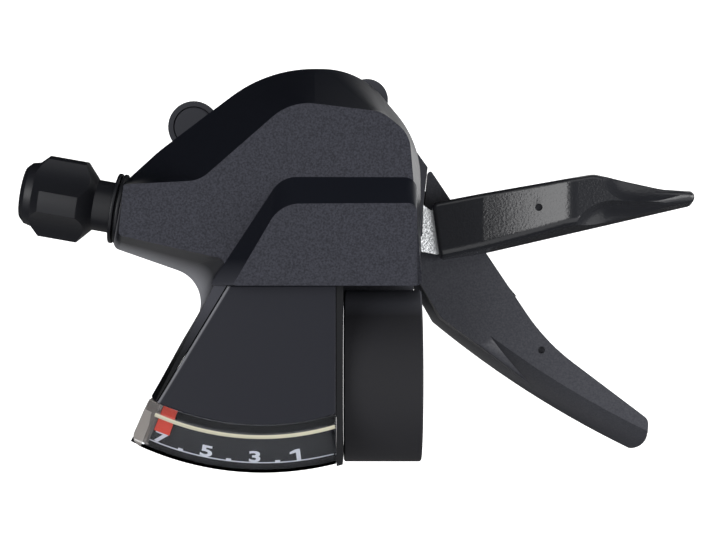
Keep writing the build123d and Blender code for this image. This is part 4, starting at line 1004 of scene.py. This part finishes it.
def lying(x_mm: Pair, y_mm: Pair, level_mm: float) -> list[Point]:
    """Corners of a level sheet, facing up.

    Args:
        x_mm: Its right and left edges.
        y_mm: Its front and rear edges.
        level_mm: Its level.

    Returns:
        Four corners in millimetres.
    """
    right, left = x_mm
    front, rear = y_mm
    outline = ((right, front), (left, front), (left, rear), (right, rear))
    return [(x, y, level_mm) for x, y in outline]


def standing(start_mm: Pair, end_mm: Pair, levels_mm: Pair) -> list[Point]:
    """Corners of an upright sheet.

    Args:
        start_mm: Where its foot begins.
        end_mm: Where its foot ends.
        levels_mm: Levels of its foot and its top.

    Returns:
        Four corners in millimetres.
    """
    foot, top = levels_mm
    return [(*start_mm, foot), (*end_mm, foot), (*end_mm, top), (*start_mm, top)]


@dataclass(frozen=True)
class Studio:
    """Camera straight above, soft boxes, a pale floor, cards and a white surround."""

    camera_mm: Point = (-4.0, 17.3, 325.7)
    lens_mm: float = 100.0
    sensor_mm: float = 36.0
    clip_mm: float = 10.0
    soft_boxes: tuple[SoftBox, ...] = (
        SoftBox("left", (-420, 60, 620), 420, 2.5),
        SoftBox("right_high", (480, -100, 560), 420, 2.1),
        SoftBox("right", (620, -60, 160), 360, 2.2),
    )
    floor_mm: float = -70.0
    floor_half_mm: float = 2000.0
    floor_colour: str = "f4f4f4"
    floor_glow: float = 0.85
    fill_strength: float = 0.25
    card_lift_mm: float = 5.0
    card_step_mm: float = 1.0
    far_mm: float = 700.0
    # The front card and the rear one meet at the edge, and both end on the right
    edge_mm: float = 62.0
    right_mm: float = 26.0
    left_card_right_mm: float = -52.0
    left_card_rear_mm: float = -5.0
    lever_card_x_mm: Pair = (420.0, 15.0)
    lever_card_front_mm: float = 18.0
    wall_top_mm: float = 500.0
    right_wall_rear_mm: float = 200.0
    rear_wall_top_mm: float = 330.0
    roof_mm: float = 900.0
    roof_half_mm: float = 280.0
    roof_right_mm: float = 420.0

    def build(self) -> None:
        """Sets up everything round the object."""
        scene = bpy.context.scene
        scene.view_settings.view_transform = "Standard"
        self._camera(scene)
        self._floor()
        self._surround(scene)
        self._cards()
        for box in self.soft_boxes:
            box.build()

    def _camera(self, scene: bpy.types.Scene) -> None:
        """Places the camera.

        Args:
            scene: The scene that takes it.
        """
        data = bpy.data.cameras.new("camera")
        data.lens = self.lens_mm
        data.sensor_width = self.sensor_mm
        data.sensor_fit = "HORIZONTAL"
        data.clip_start = self.clip_mm * MM
        camera = bpy.data.objects.new("camera", data)
        camera.location = Vector(self.camera_mm) * MM
        scene.collection.objects.link(camera)
        scene.camera = camera

    def _sheet(
        self, name: str, corners_mm: list[Point], material: bpy.types.Material
    ) -> bpy.types.Object:
        """Adds a flat sheet to the scene.

        Args:
            name: Name of the sheet.
            corners_mm: Its four corners.
            material: Its material.

        Returns:
            The new object.
        """
        mesh = bpy.data.meshes.new(name)
        mesh.from_pydata([Vector(corner) * MM for corner in corners_mm], [], [(0, 1, 2, 3)])
        mesh.materials.append(material)
        return link_object(name, mesh)

    def _floor(self) -> None:
        """Lays the pale floor, white to the camera and in reflections."""
        material = bpy.data.materials.new("floor")
        material.use_nodes = True
        tree = material.node_tree
        tree.nodes.clear()
        pale = add_node(tree, "ShaderNodeBsdfDiffuse", {"Color": srgb(self.floor_colour)})
        glow = add_node(
            tree,
            "ShaderNodeEmission",
            {"Color": srgb(WHITE), "Strength": self.floor_glow},
        )
        both = add_node(tree, "ShaderNodeAddShader", {0: pale.outputs[0], 1: glow.outputs[0]})
        mix = add_node(
            tree,
            "ShaderNodeMixShader",
            {0: self._seen(tree), 1: pale.outputs[0], 2: both.outputs[0]},
        )
        add_node(tree, "ShaderNodeOutputMaterial", {"Surface": mix.outputs[0]})
        span = (self.floor_half_mm, -self.floor_half_mm)
        self._sheet("floor", lying(span, span, self.floor_mm), material)

    def _cards(self) -> None:
        """Sets cards round the object that only show in its reflections."""
        far = self.far_mm
        low = self.floor_mm + self.card_lift_mm
        over = low + self.card_step_mm
        topmost = over + self.card_step_mm
        wall = (low, self.wall_top_mm)
        long = (self.right_mm, -far)
        front = lying(long, (far, self.edge_mm), low)
        self._card("flag_front", front, CARD_BLACK)
        self._card("flag_front_wall", standing((far, far), (-far, far), wall), CARD_BLACK)
        self._card("flag_left_wall", standing((-far, far), (-far, -far), wall), CARD_BLACK)
        right_wall = standing((far, self.right_wall_rear_mm), (far, far), wall)
        self._card("flag_right_wall", right_wall, CARD_BLACK)
        self._card("flag_rear", lying(long, (self.edge_mm, -far), low), CARD_GREY)
        left_y = (self.edge_mm, self.left_card_rear_mm)
        left = lying((self.left_card_right_mm, -far), left_y, over)
        self._card("flag_left", left, CARD_BLACK)
        lever = lying(self.lever_card_x_mm, (self.lever_card_front_mm, -far), topmost)
        self._card("flag_rear_right", lever, CARD_DARK)
        wide = self.lever_card_x_mm[0]
        rear_wall = standing((wide, -far), (-far, -far), (low, self.rear_wall_top_mm))
        self._card("flag_rear_wall", rear_wall, CARD_BLACK)
        half = self.roof_half_mm
        roof = lying((self.roof_right_mm, -half), (half, -half), self.roof_mm)
        self._card("flag_above", roof, CARD_BLACK)

    def _card(self, name: str, corners_mm: list[Point], finish: Surface) -> None:
        """Adds one card that only glossy rays meet.

        Args:
            name: Name of the card.
            corners_mm: Its four corners.
            finish: Its finish.
        """
        card = self._sheet(name, corners_mm, finish.material())
        card.visible_camera = False
        card.visible_diffuse = False
        card.visible_transmission = False
        card.visible_shadow = False

    def _surround(self, scene: bpy.types.Scene) -> None:
        """Makes the world white to the camera and in reflections, and a soft fill elsewhere.

        Args:
            scene: The scene that takes the world.
        """
        world = bpy.data.worlds.new("surround")
        scene.world = world
        world.use_nodes = True
        tree = world.node_tree
        tree.nodes.clear()
        fill = add_node(
            tree,
            "ShaderNodeBackground",
            {"Color": srgb(WHITE), "Strength": self.fill_strength},
        )
        full = add_node(tree, "ShaderNodeBackground", {"Color": srgb(WHITE), "Strength": 1.0})
        mix = add_node(
            tree,
            "ShaderNodeMixShader",
            {0: self._seen(tree), 1: fill.outputs[0], 2: full.outputs[0]},
        )
        add_node(tree, "ShaderNodeOutputWorld", {"Surface": mix.outputs[0]})

    def _seen(self, tree: bpy.types.NodeTree) -> bpy.types.NodeSocket:
        """Picks out the rays that see the surroundings.

        Args:
            tree: The tree of a material or of the world.

        Returns:
            A socket that is 1 for camera, glossy and transmission rays.
        """
        path = add_node(tree, "ShaderNodeLightPath")
        seen = path.outputs["Is Camera Ray"]
        for kind in ("Is Glossy Ray", "Is Transmission Ray"):
            sockets = {0: seen, 1: path.outputs[kind]}
            seen = add_node(tree, "ShaderNodeMath", sockets, operation="MAXIMUM").outputs[0]
        return seen


def main() -> None:
    """Builds every sub-assembly and the studio."""
    logging.basicConfig(level=logging.INFO)
    for assembly in (Bracket(), Hood(), Indicator(), Levers(), Adjuster(), Studio()):
        assembly.build()
        LOG.info("built %s", type(assembly).__name__)


if __name__ == "__main__":
    main()
